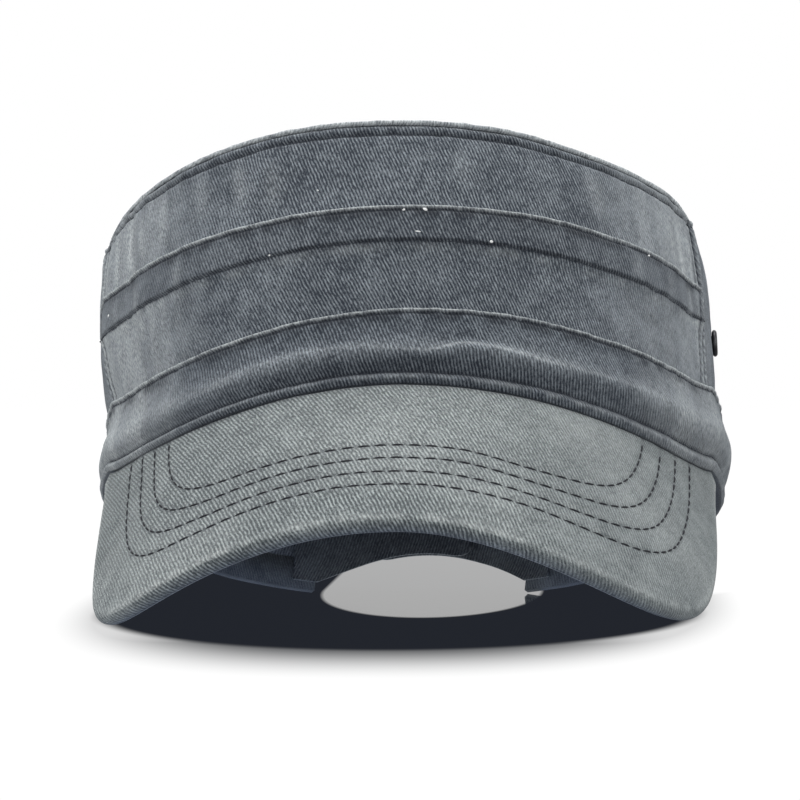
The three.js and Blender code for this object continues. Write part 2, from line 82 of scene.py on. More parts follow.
# Angle in degrees, lift of the seams and fall of the rim as shares of the crown's height
SETTLING = np.array([
    [-180, 0.000, 0.000],
    [-90, 0.045, 0.084],
    [-75, 0.052, 0.082],
    [-58, 0.050, 0.076],
    [-38, 0.030, 0.045],
    [-18, 0.010, 0.010],
    [0, 0.000, 0.000],
    [20, 0.000, 0.005],
    [36, 0.004, 0.025],
    [52, 0.014, 0.027],
    [66, 0.014, 0.006],
    [90, 0.014, 0.018],
    [180, 0.000, 0.000],
])
# Angle and spread in degrees, low and high as shares of the height, out in millimetres
FOLDS = [
    (-70, 4, 0.3, 1.0, 0.72), (-62, 5, 0.3, 1.0, -0.84), (-54, 4, 0.66, 1.0, 0.6),
    (-31, 5, 0.68, 1.0, -0.6), (-24, 4, 0.68, 1.0, 0.72), (37, 5, 0.68, 1.0, 0.6),
    (46, 5, 0.66, 1.0, -0.6), (64, 4, 0.3, 1.0, -0.72), (100, 9, 0.3, 1.0, 1.08),
    (124, 10, 0.3, 1.0, -1.32), (150, 9, 0.6, 1.0, 0.96), (-104, 9, 0.3, 1.0, -1.2),
    (-128, 10, 0.3, 1.0, 1.2), (-152, 9, 0.6, 1.0, -1.08),
]


def through(table, at, column):
    """Value of a table's column at a key, by a smooth curve through its rows"""
    keys, values = table[:, 0], table[:, column]
    at = np.clip(at, keys[0], keys[-1])
    ends = np.concatenate(([0], np.arange(len(keys) - 2), [len(keys) - 2]))
    nexts = np.concatenate(([1], np.arange(2, len(keys)), [len(keys) - 1]))
    slopes = (values[nexts] - values[ends]) / (keys[nexts] - keys[ends])
    row = np.clip(np.searchsorted(keys, at, side="left") - 1, 0, len(keys) - 2)
    step = keys[row + 1] - keys[row]
    t = (at - keys[row]) / step
    rest = 1 - t
    return (
        values[row] * rest**2 * (1 + 2 * t)
        + values[row + 1] * t**2 * (3 - 2 * t)
        + step * t * rest * (slopes[row] * rest - slopes[row + 1] * t)
    )


def squareness(angle):
    size = np.where(angle < 0, SQUARE_LEFT, SQUARE_RIGHT)
    return size * np.sin(2 * angle) ** 2 * np.sign(np.cos(angle))


def peak_sag(x):
    return BEND - np.sqrt(np.maximum(BEND**2 - x**2, 0))


PEAK_END_REACH = 0.96 * HALF_WIDTH
PEAK_END = math.asin(PEAK_END_REACH / HALF_WIDTH)
HEM_SETTLE = math.radians(38)


def hem_rise(angle):
    """Height of the hem, which rides on the peak in front and comes back to level behind it"""
    turned = np.abs(angle)
    on_peak = np.minimum(turned, PEAK_END)
    x = HALF_WIDTH * np.sin(on_peak)
    y = HALF_LENGTH * (1 - np.cos(on_peak)) - squareness(np.sign(angle) * on_peak)
    back = np.clip((turned - PEAK_END) / HEM_SETTLE, 0, 1)
    share = 1 - back**2 * (3 - 2 * back)
    return share * (y * math.tan(DROOP) - (peak_sag(x) - GAP) / math.cos(DROOP))


def stand(x, y, z):
    """A place in the cap's own frame, in millimetres, as it rests on the table, in metres"""
    back = y * math.cos(REST_TILT) + z * math.sin(REST_TILT)
    up = z * math.cos(REST_TILT) - y * math.sin(REST_TILT)
    return (np.stack([x, back, up], -1) + REST_PLACE) / 1000


def wall(angle, height, out):
    """A place on the crown's wall: round it from the front, up it, and out from its face"""
    level = height / CROWN
    degrees = np.degrees(angle)
    fold = np.zeros(np.broadcast(angle, height).shape)
    for middle, spread, low, high, far in FOLDS:
        up = np.clip(1 - ((level - (low + high) / 2) / ((high - low) / 2)) ** 2, 0, 1)
        fold = fold + far * np.exp(-(((degrees - middle) / spread) ** 2)) * up
    half_width = HALF_WIDTH * through(SECTIONS, level, 1)
    half_length = HALF_LENGTH * through(SECTIONS, level, 2)
    aside, ahead = np.sin(angle) / half_width, -np.cos(angle) / half_length
    long = np.hypot(aside, ahead)
    x = half_width * np.sin(angle) + aside / long * (out + fold)
    y = HALF_LENGTH - half_length * np.cos(angle) - squareness(angle) + ahead / long * (out + fold)
    above = np.clip((CROWN - height) / (CROWN - BAND), 0, 1)
    near_rim = np.clip((height - RIDGE) / (CROWN - RIDGE), 0, 1)
    z = height - BACK_FALL * height * (1 - np.cos(angle)) / 2 / CROWN
    z = z + hem_rise(angle) * above + x * through(SECTIONS, level, 4)
    z = z + CROWN * through(SETTLING, degrees, 1) * np.clip(height / BAND, 0, 1)
    z = z - CROWN * through(SETTLING, degrees, 2) * near_rim
    return stand(x + HALF_WIDTH * through(SECTIONS, level, 3), y, z)


def ripple(along, size, seed):
    """Uneven smooth wave from -1 to 1, as puckered cloth makes along a seam"""
    knots = np.random.default_rng(seed).uniform(-1, 1, 2048)
    place = along / size + 1024
    low = np.floor(place).astype(int)
    t = place - low
    t = t * t * (3 - 2 * t)
    return knots[low] * (1 - t) + knots[low + 1] * t


def lumps(u, v, size, seed):
    """Uneven soft lumps from -1 to 1 over a cloth, of about the given size"""
    knots = np.random.default_rng(seed).uniform(-1, 1, (256, 256))
    i, j = u / size + 128, v / size + 128
    a, b = np.floor(i).astype(int) % 255, np.floor(j).astype(int) % 255
    s, t = i - np.floor(i), j - np.floor(j)
    s, t = s * s * (3 - 2 * s), t * t * (3 - 2 * t)
    low = knots[a, b] * (1 - s) + knots[a + 1, b] * s
    high = knots[a, b + 1] * (1 - s) + knots[a + 1, b + 1] * s
    return low * (1 - t) + high * t


def line(distance, width):
    """1 on a line, fading to 0 within about its width on both sides"""
    return np.exp(-((distance / width) ** 2))


def puckers(distance, along, reach, size, seed):
    """Ripples that run off a line of stitching and die away from it"""
    wave = ripple(along + 0.4 * distance, size, seed) + 0.5 * ripple(along, size / 2, seed + 1)
    return wave * np.exp(-np.abs(distance) / reach)


def finished_piece(name, mesh, finish):
    """The piece of a mesh, with its faces turned outwards, smooth and in its finish"""
    solid = bmesh.new()
    solid.from_mesh(mesh)
    bmesh.ops.recalc_face_normals(solid, faces=solid.faces)
    solid.to_mesh(mesh)
    solid.free()
    mesh.shade_smooth()
    mesh.materials.append(finish)
    piece = bpy.data.objects.new(name, mesh)
    bpy.context.collection.objects.link(piece)
    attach(piece, "root")
    return piece


def cloth_mesh(name, points, faces, weave, marks, finish):
    """A closed cloth piece with its weave map in millimetres and its marks: rubbed pale places with
    painted highlights, and dark creases and joints with painted shade
    """
    mesh = bpy.data.meshes.new(name)
    mesh.from_pydata(points.reshape(-1, 3).tolist(), [], faces)
    corner = np.empty(len(mesh.loops), np.int32)
    mesh.loops.foreach_get("vertex_index", corner)
    chart = mesh.uv_layers.new(name="weave")
    chart.data.foreach_set("uv", weave.reshape(-1, 2)[corner].astype(np.float32).ravel())
    for mark, values in marks.items():
        layer = mesh.attributes.new(mark, "FLOAT", "POINT")
        layer.data.foreach_set("value", np.clip(values, 0, 1).astype(np.float32).ravel())
    return finished_piece(name, mesh, finish)


def swept(name, points, weave, marks, finish):
    """A cloth piece from closed sections, one after the other, shut at its two ends"""
    count, ring = points.shape[:2]
    at = np.arange(count * ring).reshape(count, ring)
    a, b = at[:-1], at[1:]
    sides = np.stack([a, np.roll(a, -1, 1), np.roll(b, -1, 1), b], -1).reshape(-1, 4)
    faces = sides.tolist() + [at[0].tolist(), at[-1].tolist()]
    return cloth_mesh(name, points, faces, weave, marks, finish)


def wall_cloth(name, angles, heights, outs, face, finish):
    """A piece of the wall from sections of heights and outs. The corners listed first, down to
    the count in face, are its outer side, and take its relief and its marks."""
    visible, relief, wear_and_highlight, crease_and_shade, contrast = face
    shape = (len(angles), heights.shape[-1])
    angle = np.broadcast_to(angles[:, None], shape)
    heights = np.broadcast_to(heights, shape)
    outs = np.broadcast_to(outs, shape).copy()
    outer = (np.arange(shape[1]) < visible)[None, :] * np.ones(shape)
    outs += outer * relief(angle, heights)
    steps = np.hypot(np.diff(heights[0]), np.diff(outs.mean(0)))
    climb = heights[0, 0] + np.concatenate(([0], np.cumsum(steps)))
    if np.ptp(heights[:, 0]) > 1:
        weave = np.stack([angle * HALF_WIDTH, heights + 0 * angle], -1)
    else:
        weave = np.stack([angle * HALF_WIDTH, np.broadcast_to(climb, shape)], -1)
    # Inner faces take no rubbing, and a little painted shade
    marks = {
        "wear_and_highlight": outer * wear_and_highlight(angle, heights),
        "crease_and_shade": outer * crease_and_shade(angle, heights) + (1 - outer) * 0.1,
        "contrast": contrast(angle, heights),
    }
    return swept(name, wall(angle, heights, outs), weave, marks, finish)


def node(tree, kind, **inputs):
    """A shader node with its settings and its values or links by socket name"""
    made = tree.nodes.new("ShaderNode" + kind)
    for key, value in inputs.items():
        if hasattr(made, key):
            setattr(made, key, value)
            continue
        place = int(key[1:]) if key[0] == "_" else key.replace("_", " ")
        socket = made.inputs[place]
        if isinstance(value, bpy.types.NodeSocket):
            tree.links.new(value, socket)
        else:
            socket.default_value = value
    return made


def calc(tree, operation, *values):
    """The result of a sum on numbers and links"""
    inputs = {f"_{place}": value for place, value in enumerate(values)}
    return node(tree, "Math", operation=operation, **inputs).outputs[0]


def ramp(tree, value, begin, end, low=0.0, high=1.0, kind="LINEAR"):
    """From low to high as a value goes from its begin to its end"""
    made = node(tree, "MapRange", interpolation_type=kind, Value=value, From_Min=begin,
                From_Max=end, To_Min=low, To_Max=high)
    return made.outputs[0]


def noise(tree, at, scale, detail, roughness=0.5):
    return node(tree, "TexNoise", Vector=at, Scale=scale, Detail=detail, Roughness=roughness).outputs[0]


def mixed(tree, share, first, second):
    """Two colours mixed by a share"""
    return node(tree, "Mix", data_type="RGBA", _0=share, _6=first, _7=second).outputs[2]


def new_finish(name, **settings):
    """A material with its node tree and its shader, set by the names of the shader's sockets"""
    made = bpy.data.materials.new(name)
    made.use_nodes = True
    surface = made.node_tree.nodes["Principled BSDF"]
    for socket, value in settings.items():
        surface.inputs[socket.replace("_", " ")].default_value = value
    return made, made.node_tree, surface


# Phase of the ribs in radians for each millimetre round the cap and up it, and their waver
RIB_WAVE = (6.3, 2.25, 0.0)
RIB_WAVER = (0.8, 0.8, 0.0)
# Near black of the dark joints and stitch rows, and of the painted shade in hollows and recesses
DARK_JOINT_AND_SHADE = (0.012, 0.015, 0.022, 1.0)


def twill(name, dark, light, rubbed_and_highlight, wash):
    """Washed cotton twill. Diagonal ribs under 1 mm apart break up into single yarns with dark
    pores between them, the dye has gone in clouds, folds and edges are rubbed pale, and the dye
    stays dark in the stitched creases. Painted highlights on ridges, bulges and lit sides are mixed
    in with the rubbed pale, and painted shade in hollows and recesses with the dark creases."""
    made, tree, surface = new_finish(
        name,
        Roughness=0.95,
        Specular_IOR_Level=0.15,
        Sheen_Weight=0.2,
        Sheen_Roughness=0.6,
        Sheen_Tint=(0.75, 0.8, 0.85, 1.0),
    )
    chart = node(tree, "UVMap", uv_map="weave").outputs["UV"]
    place = node(tree, "TexCoord").outputs["Object"]

    waver = node(tree, "TexNoise", Vector=chart, Scale=0.22, Detail=3.0).outputs["Color"]
    centred = node(tree, "VectorMath", operation="SUBTRACT", _0=waver, _1=(0.5, 0.5, 0.5)).outputs[0]
    bent = node(tree, "VectorMath", operation="MULTIPLY_ADD", _0=centred, _1=RIB_WAVER, _2=chart)
    bent = bent.outputs[0]
    across = node(tree, "VectorMath", operation="DOT_PRODUCT", _0=bent, _1=RIB_WAVE)
    rib = calc(tree, "SINE", across.outputs["Value"])
    slant = -math.atan2(RIB_WAVE[1], RIB_WAVE[0])
    turned = node(tree, "Mapping", Vector=bent, Rotation=(0.0, 0.0, slant)).outputs[0]
    yarns = node(tree, "Mapping", Vector=turned, Scale=(2.1, 0.62, 1.0)).outputs[0]
    yarn = noise(tree, yarns, 1.0, 2.0, 0.6)
    gaps = node(tree, "Mapping", Vector=turned, Location=(31.0, 17.0, 0.0), Scale=(1.5, 1.1, 1.0))
    gap = noise(tree, gaps.outputs[0], 1.0, 1.0)
    pore = ramp(tree, gap, 0.46, 0.6)
    fuzz = noise(tree, chart, 2.5, 4.0, 0.75)
    ridge = calc(tree, "MULTIPLY_ADD", rib, 0.5, 0.5)
    loud = ramp(tree, yarn, 0.34, 0.64, low=0.05)
    ribs = calc(tree, "MULTIPLY", ridge, loud)
    sunk = calc(tree, "SUBTRACT", 1.0, ridge)
    sunk = calc(tree, "MULTIPLY", sunk, pore)
    cloud = noise(tree, place, 34.0, 3.0, 0.55)
    blotch = noise(tree, place, 170.0, 3.0, 0.6)

    contrast = node(tree, "Attribute", attribute_name="contrast").outputs["Fac"]
    even = calc(tree, "SUBTRACT", ribs, 0.3)
    even = calc(tree, "MULTIPLY_ADD", sunk, -0.4, even)
    shown = calc(tree, "MULTIPLY", even, contrast)
    tone = calc(tree, "MULTIPLY_ADD", shown, 0.95, 0.385)
    for cause, amount in ((fuzz, 1.35), (cloud, wash), (blotch, wash * 1.7)):
        part = calc(tree, "SUBTRACT", cause, 0.5)
        tone = calc(tree, "MULTIPLY_ADD", part, amount, tone)
    dyed = mixed(tree, tone, dark, light)

    # The wear mark mixes in the pale colour: rubbed pale places, and painted highlights on ridges,
    # bulges and lit sides
    wear_and_highlight = node(tree, "Attribute", attribute_name="wear_and_highlight").outputs["Fac"]
    patchy = ramp(tree, yarn, 0.35, 0.62, low=0.25)
    rubbed = calc(tree, "MULTIPLY", wear_and_highlight, patchy)
    faded = mixed(tree, rubbed, dyed, rubbed_and_highlight)
    # The crease mark mixes in the near black: dark joints and stitch rows, and painted shade in
    # hollows, puckers, recesses and inside the crown
    crease_and_shade = node(tree, "Attribute", attribute_name="crease_and_shade").outputs["Fac"]
    between = calc(tree, "MULTIPLY_ADD", ridge, -0.4, 1.15)
    closed = calc(tree, "MULTIPLY", crease_and_shade, between)
    tree.links.new(mixed(tree, closed, faded, DARK_JOINT_AND_SHADE), surface.inputs["Base Color"])

    raised = calc(tree, "MULTIPLY_ADD", fuzz, 0.5, ribs)
    bump = node(tree, "Bump", Strength=0.7, Distance=0.00028, Height=raised)
    tree.links.new(bump.outputs[0], surface.inputs["Normal"])
    return made


panel_twill = twill(
    "panel twill",
    dark=(0.026, 0.033, 0.046, 1.0),
    light=(0.305, 0.340, 0.372, 1.0),
    rubbed_and_highlight=(0.62, 0.66, 0.67, 1.0),
    wash=0.5,
)


def seam_across(angle):
    """Millimetres round the wall to the nearer of the two upright seams"""
    return np.where(angle < 0, angle - LEFT_SEAM, angle - RIGHT_SEAM) * HALF_WIDTH


def towards_ends(angle, start, spread):
    """0 in the middle of the front, rising to 1 over a spread from a start, in degrees"""
    return np.clip((np.abs(np.degrees(angle)) - start) / spread, 0, 1)


# Sharp upright wrinkles, raised in the cloth, with painted highlight on their ridges and painted shade
# a little to one side: angle in degrees, width in millimetres, low and high ends, strength
WRINKLES = [
    (-67.0, 1.5, 55, 79, 0.3), (-60.5, 1.8, 55, 77, 0.42), (-54.5, 1.7, 55, 74, 0.32),
    (-48.0, 2.6, 57, 77, 0.16), (-43.1, 1.8, 42, 52, 0.42), (-64.5, 1.7, 42, 51, 0.3),
    (-56.0, 1.9, 33, 52, 0.36), (-38.0, 2.4, 60, 78, 0.16), (-29.5, 2.2, 60, 78, 0.22),
    (-22.5, 2.6, 57, 74, 0.16), (12.0, 2.6, 60, 74, 0.1), (38.5, 3.2, 58, 77, 0.2),
    (47.0, 2.0, 43, 53, 0.3), (57.0, 1.9, 43, 52, 0.26), (60.5, 1.7, 56, 75, 0.3),
    (65.0, 1.3, 40, 75, 0.32), (69.0, 1.1, 24, 74, 0.3),
]


def wrinkles(angle, height, aside):
    """How much of an upright wrinkle there is a little to one side of each place"""
    total = 0 * angle * height
    for degrees, width, low, high, strength in WRINKLES:
        middle = (low + high) / 2
        bend = 0.06 * (height - middle) + 0.5 * ripple(height + 7 * degrees, 6, 19)
        away = (angle - math.radians(degrees)) * HALF_WIDTH - aside * width + bend
        upright = np.clip((high - height) / 7, 0, 1) * np.clip((height - low) / 5, 0, 1)
        total = total + strength * line(away, width) * upright
    return total


def upright_seam(angle, height):
    """Relief of a lapped seam: a sunk joint between two stitched rows"""
    away = seam_across(angle)
    rows = line(np.abs(away) - SEAM_ROW, 0.55)
    welt = line(np.abs(away) - 1.3, 0.8)
    return -0.9 * line(away, 0.5) - 0.35 * rows + 0.35 * welt


def seam_wear(angle):
    """The rubbed welt on both sides of an upright seam"""
    return 0.3 * line(np.abs(seam_across(angle)) - 1.2, 0.7)


def seam_crease(angle):
    """The dark joint of an upright seam and its two rows of stitches"""
    away = seam_across(angle)
    return 0.8 * line(away, 0.5) + 0.6 * line(np.abs(away) - SEAM_ROW, 0.4)


def panel_relief(angle, height):
    """Soft unevenness of a washed panel, with upright creases near the seams at its ends"""
    along = angle * HALF_WIDTH
    soft = 0.3 * lumps(along, height, 13, 3) + 0.12 * lumps(along, height, 5, 4)
    upright = 0.32 * towards_ends(angle, 45, 20) * ripple(along + 0.1 * height, 3.2, 5)
    folded = 0.5 * wrinkles(angle, height, 0.0)
    return soft + upright + folded + upright_seam(angle, height)


def upper_relief(angle, height):
    along = angle * HALF_WIDTH
    row = height - RIM_ROW
    relief = panel_relief(angle, height) - 0.6 * line(row, 0.6)
    relief = relief + 0.45 * line(height - RIM_WELT, 1.0)
    relief = relief + 0.3 * puckers(row, along, 3.0, 2.6, 6)
    return relief + 0.22 * puckers(height - RIDGE, along, 4.0, 3.4, 8)


def upper_wear_and_highlight(angle, height):
    along = angle * HALF_WIDTH
    welt = line(height - 79.6, 0.5) * (0.12 + 0.2 * ripple(along, 2.4, 9))
    # Lighter towards the ends: rubbed upright folds near the seams, and painted highlight where the
    # sides are lit. The wrinkles' ridges get painted highlight
    folds = 0.56 * towards_ends(angle, 36, 26) * (0.7 + 0.3 * ripple(along, 3.2, 5))
    return welt + wrinkles(angle, height, 0.0) + folds + seam_wear(angle)


def upper_crease_and_shade(angle, height):
    along = angle * HALF_WIDTH
    row = 0.95 * line(height - RIM_ROW, 0.36)
    rim = 0.35 * np.clip((height - RIM_EDGE) / 0.5, 0, 1)
    welt = np.clip((height - RIM_ROW) / 0.5, 0, 1) * (0.22 + 0.18 * ripple(along, 3.6, 10))
    # Painted shade in the hollows of the puckers under the row, and beside each wrinkle
    under = np.maximum(0.4 * puckers(height - RIM_ROW, along, 2.0, 2.6, 6), 0)
    return row + rim + welt + under + 0.3 * wrinkles(angle, height, 1.7) + seam_crease(angle)


def front_contrast(angle, height):
    """The ribs show best in the middle of the front"""
    return 1.0 - 0.75 * np.clip((np.abs(np.degrees(angle) - 2) - 28) / 24, 0, 1)


front_angles = np.linspace(LEFT_SEAM, RIGHT_SEAM, 300)
outer_heights = [np.linspace(PANEL_FOOT, 53, 6), np.arange(53.5, 79.8, 0.45), [79.9, CROWN]]
outer_heights = np.concatenate(outer_heights)
outer_outs = np.where(outer_heights > 79.7, -RIM_TURN, 0.0)
inner_heights = np.linspace(CROWN, PANEL_FOOT, 12)
heights = np.concatenate((outer_heights, inner_heights))[None, :]
outs = np.concatenate((outer_outs, np.full(len(inner_heights), -CLOTH)))[None, :]
face = (len(outer_heights), upper_relief, upper_wear_and_highlight, upper_crease_and_shade, front_contrast)
upper = wall_cloth("front_upper_cloth", front_angles, heights, outs, face, panel_twill)
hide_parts("front_upper")

# FRONT OF THE CROWN, LOWER PANEL
# Its top edge is turned in and lies over the upper panel as a sharp fold, rubbed pale, held by a
# row of stitches just under the fold and by a second row 11 mm below, where the lap ends.
LAP = 43.0
LAP_STAND = GAP + CLOTH
FOLD_ROW = 52.5
FOLD_EDGE = 53.6
CROWN_FOOT = 12.5


def fold_row_and_tuck_shade(height, along, row, shade, seeds):
    """The dark row of stitches under a folded edge, and the painted shade of the tucks below it"""
    stitches = line(height - row, 0.62) * (0.82 + 0.4 * ripple(along, 1.9, seeds[0]))
    tucks = shade * line(height - row + 1.2, 1.2) * (1 + 1.4 * ripple(along, 3.4, seeds[1]))
    return stitches + tucks


def lower_relief(angle, height):
    along = angle * HALF_WIDTH
    relief = panel_relief(angle, height)
    relief = relief - 0.55 * line(height - FOLD_ROW, 0.5) + 0.22 * line(height - FOLD_EDGE, 0.5)
    relief = relief + 0.22 * puckers(height - FOLD_ROW, along, 3.5, 2.4, 11)
    relief = relief - 0.55 * line(height - LAP, 0.42) + 0.35 * line(height - LAP + 1.5, 1.1)
    relief = relief + 0.28 * puckers(height - LAP, along, 3.5, 2.8, 12)
    tucked = 0.8 * line(seam_across(angle), 7.0) * (height > LAP)
    return relief - tucked + 0.2 * puckers(height - BAND, along, 4.0, 3.0, 14)


def lower_wear_and_highlight(angle, height):
    along = angle * HALF_WIDTH
    edge = line(height - FOLD_EDGE, 0.7) * (0.95 + 0.45 * ripple(along, 1.1, 16))
    # Painted highlight on the puff below the lap row
    puff = line(height - LAP + 1.6, 1.3) * (0.12 + 0.14 * ripple(along, 3.0, 13))
    # Lighter towards the ends, the left one more: rubbed folds, and painted highlight where the sides
    # are lit. The wrinkles' ridges get painted highlight
    ends = np.where(angle < 0, 0.64, 0.3) * towards_ends(angle, 36, 26) * (height < LAP)
    ends = ends + 0.14 * towards_ends(angle, 50, 16) * (height >= LAP)
    ends = ends * (0.7 + 0.3 * ripple(along, 3.2, 5))
    return edge + puff + wrinkles(angle, height, 0.0) + ends + seam_wear(angle)


def lower_crease_and_shade(angle, height):
    along = angle * HALF_WIDTH
    fold = fold_row_and_tuck_shade(height, along, FOLD_ROW, 0.32, (15, 17))
    lap = line(height - LAP - 0.2, 0.5) * (0.75 + 0.3 * ripple(along, 2.2, 18))
    strip = 0.2 * np.clip((height - LAP) / 1.0, 0, 1) * np.clip((FOLD_ROW - height) / 1.0, 0, 1)
    seam = seam_crease(angle)
    # Painted shade just above the band's fold, across the middle of the front, and beside each wrinkle
    under = 0.24 * np.clip((BAND + 2.0 - height) / 2.5, 0, 1)
    middle = 0.1 * np.clip(1 - np.abs(np.degrees(angle)) / 50, 0, 1)
    return fold + lap + strip + seam + under + middle + 0.3 * wrinkles(angle, height, 1.7)


outer_heights = [np.linspace(CROWN_FOOT, 21, 5), np.arange(21.6, 42.2, 0.6), np.arange(42.3, 53.5, 0.4)]
outer_heights = np.concatenate(outer_heights)
outer_outs = LAP_STAND * np.clip((outer_heights - 41.8) / 1.6, 0, 1)
# The folded edge turns in towards the upper panel, and steps back to the wall behind the lap
outer_heights = np.concatenate((outer_heights, [53.7, 53.95, 54.05]))
outer_outs = np.concatenate((outer_outs, [LAP_STAND - 0.08, LAP_STAND - 0.4, LAP_STAND - 0.8]))
inner_heights = np.concatenate(([53.9, 48.0, 42.7, 42.7], np.linspace(41, CROWN_FOOT, 8)))
inner_outs = np.concatenate(([0.4, 0.35, 0.35, -CLOTH], np.full(8, -CLOTH)))
heights = np.concatenate((outer_heights, inner_heights))[None, :]
outs = np.concatenate((outer_outs, inner_outs))[None, :]
face = (len(outer_heights), lower_relief, lower_wear_and_highlight, lower_crease_and_shade, front_contrast)
lower = wall_cloth("front_lower_cloth", front_angles, heights, outs, face, panel_twill)
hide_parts("front_lower")

# SIDES OF THE CROWN
# Two tall panels that run from the upright seams to a seam at the middle of the back, and arch
# over the opening there. The arch's edge is turned in and stitched 5 mm from its fold.
ARCH_REACH = 34.0
ARCH_HALF = math.asin(ARCH_REACH / HALF_WIDTH)
ARCH_HEIGHT = 48.0
ARCH_POWER = 2.4
ARCH_HEM = 5.0
BACK_ROW = 3.0


def arch_edge(angle):
    away = np.clip(np.abs(math.pi - np.abs(angle)) / ARCH_HALF, 0, 1)
    return ARCH_HEIGHT * (1 - away**ARCH_POWER) ** (1 / ARCH_POWER)


def arch_away(angle, height):
    """Millimetres from the arch's edge, roughly, at right angles to it"""
    aside = np.abs(math.pi - np.abs(angle)) * HALF_WIDTH / ARCH_REACH
    up = np.maximum(height, 0) / ARCH_HEIGHT
    reach = (aside**ARCH_POWER + up**ARCH_POWER) ** (1 / ARCH_POWER)
    return (reach - 1) * np.hypot(aside * ARCH_REACH, height) / np.maximum(reach, 0.01)


def back_seam(angle):
    return (math.pi - np.abs(angle)) * HALF_WIDTH


def side_relief(angle, height):
    along = angle * HALF_WIDTH
    row = height - RIM_ROW
    relief = 0.35 * lumps(along, height, 16, 23) + 0.14 * lumps(along, height, 6, 24)
    relief = relief + upright_seam(angle, height) - 0.6 * line(row, 0.6)
    relief = relief + 0.5 * line(seam_across(angle), 16.0)
    relief = relief + 0.45 * line(height - RIM_WELT, 1.0) + 0.3 * puckers(row, along, 3.0, 2.6, 26)
    relief = relief + 0.25 * puckers(height - BAND, along, 4.0, 3.0, 27)
    middle = back_seam(angle)
    relief = relief - 0.8 * line(middle, 0.6) - 0.3 * line(middle - BACK_ROW, 0.6)
    relief = relief + 0.22 * puckers(middle - BACK_ROW, height, 3.0, 3.0, 28)
    hem = arch_away(angle, height) - ARCH_HEM
    return relief - 0.3 * line(hem, 0.6) + 0.2 * puckers(hem, along + height, 3.0, 2.8, 29)


def side_wear(angle, height):
    along = angle * HALF_WIDTH
    welt = line(height - 78.6, 0.9) * (0.35 + 0.3 * ripple(along, 2.4, 9))
    arch = 0.8 * line(arch_away(angle, height), 0.6)
    middle = 0.25 * line(back_seam(angle) - 1.4, 0.8)
    clouds = 0.12 + 0.18 * lumps(along, height, 22, 31)
    return welt + arch + middle + clouds + seam_wear(angle)


def side_crease(angle, height):
    rows = 0.8 * line(height - RIM_ROW, 0.42) + 0.55 * line(arch_away(angle, height) - ARCH_HEM, 0.4)
    middle = back_seam(angle)
    back = 0.8 * line(middle, 0.5) + 0.5 * line(middle - BACK_ROW, 0.4)
    return seam_crease(angle) + rows + back + 0.9 * np.clip((height - RIM_EDGE) / 0.5, 0, 1)


def side_contrast(angle, height):
    return np.full(angle.shape, 0.55)


# Columns of the mesh over the arch lie closer together towards the middle of the back
over_arch = math.pi - ARCH_HALF * (1 - np.linspace(0, 1, 42)[1:]) ** 1.6
OUTER_ROWS = 100
INNER_ROWS = 14
for name, seam, hand in (("side_left", LEFT_SEAM, -1), ("side_right", RIGHT_SEAM, 1)):
    angles = np.concatenate((np.linspace(abs(seam), math.pi - ARCH_HALF, 130), over_arch)) * hand
    bottom = np.maximum(CROWN_FOOT, arch_edge(angles))[:, None]
    share = np.linspace(0, 1, OUTER_ROWS)[None, :]
    outer = bottom + (CROWN - bottom) * share
    inner = bottom + (CROWN - bottom) * np.linspace(1, 0, INNER_ROWS)[None, :]
    heights = np.concatenate((outer, inner), 1)
    rim_turn = np.where(share > 0.995, -RIM_TURN, 0.0)
    outs = np.concatenate((rim_turn, np.full((1, INNER_ROWS), -CLOTH)), 1)
    face = (OUTER_ROWS, side_relief, side_wear, side_crease, side_contrast)
    panel = wall_cloth(name + "_cloth", angles, heights, outs, face, panel_twill)
    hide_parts(name)

# FLAT TOP
# An oval of the same twill, sewn to the walls with its edge turned up into a puffed rim, and
# stitched down again 3 mm inside the seam.
TOP_DOME = 3.0
TOP_ROW = 3.4
TOP_ROW_LIFT = 1.38
TOP_LIFT = 1.55
TOP_UNDER = 0.35
TOP_CORE = 84
RIM_POINTS = 560
# Section of the rim: how far in from its outline and how far up, in millimetres
RIM_PROFILE = [
    (-0.15, 0.1), (-0.45, 0.45), (-0.5, 0.9), (-0.3, 1.35), (0.1, 1.7), (0.7, 1.98), (1.4, 2.1),
    (2.1, 2.02), (2.7, 1.75), (3.2, 1.35), (3.6, 1.3), (4.1, 1.45), (4.8, 1.55), (5.6, 1.55),
]

rim_angles = np.linspace(-math.pi, math.pi, RIM_POINTS, endpoint=False)
rim = wall(rim_angles, np.full(RIM_POINTS, CROWN), np.zeros(RIM_POINTS))
top_middle = rim.mean(0)


def top_ring(inset, lift):
    """The rim's outline moved in and up over the domed top"""
    towards = top_middle - rim
    reach = np.hypot(towards[:, 0], towards[:, 1])[:, None]
    share = inset / 1000 / reach
    dome = 1 - (1 - share) ** 2
    made = rim + towards * share
    made[:, 2:] = rim[:, 2:] + towards[:, 2:] * dome
    rise = (TOP_DOME * dome[:, 0] + lift) / 1000
    made[:, 1] += rise * math.sin(REST_TILT)
    made[:, 2] += rise * math.cos(REST_TILT)
    return made


def row_puckers(inset):
    """Puckers of the flat top along its row of stitches"""
    return 0.25 * puckers(inset - TOP_ROW, rim_along, 4, 3.2, 43)


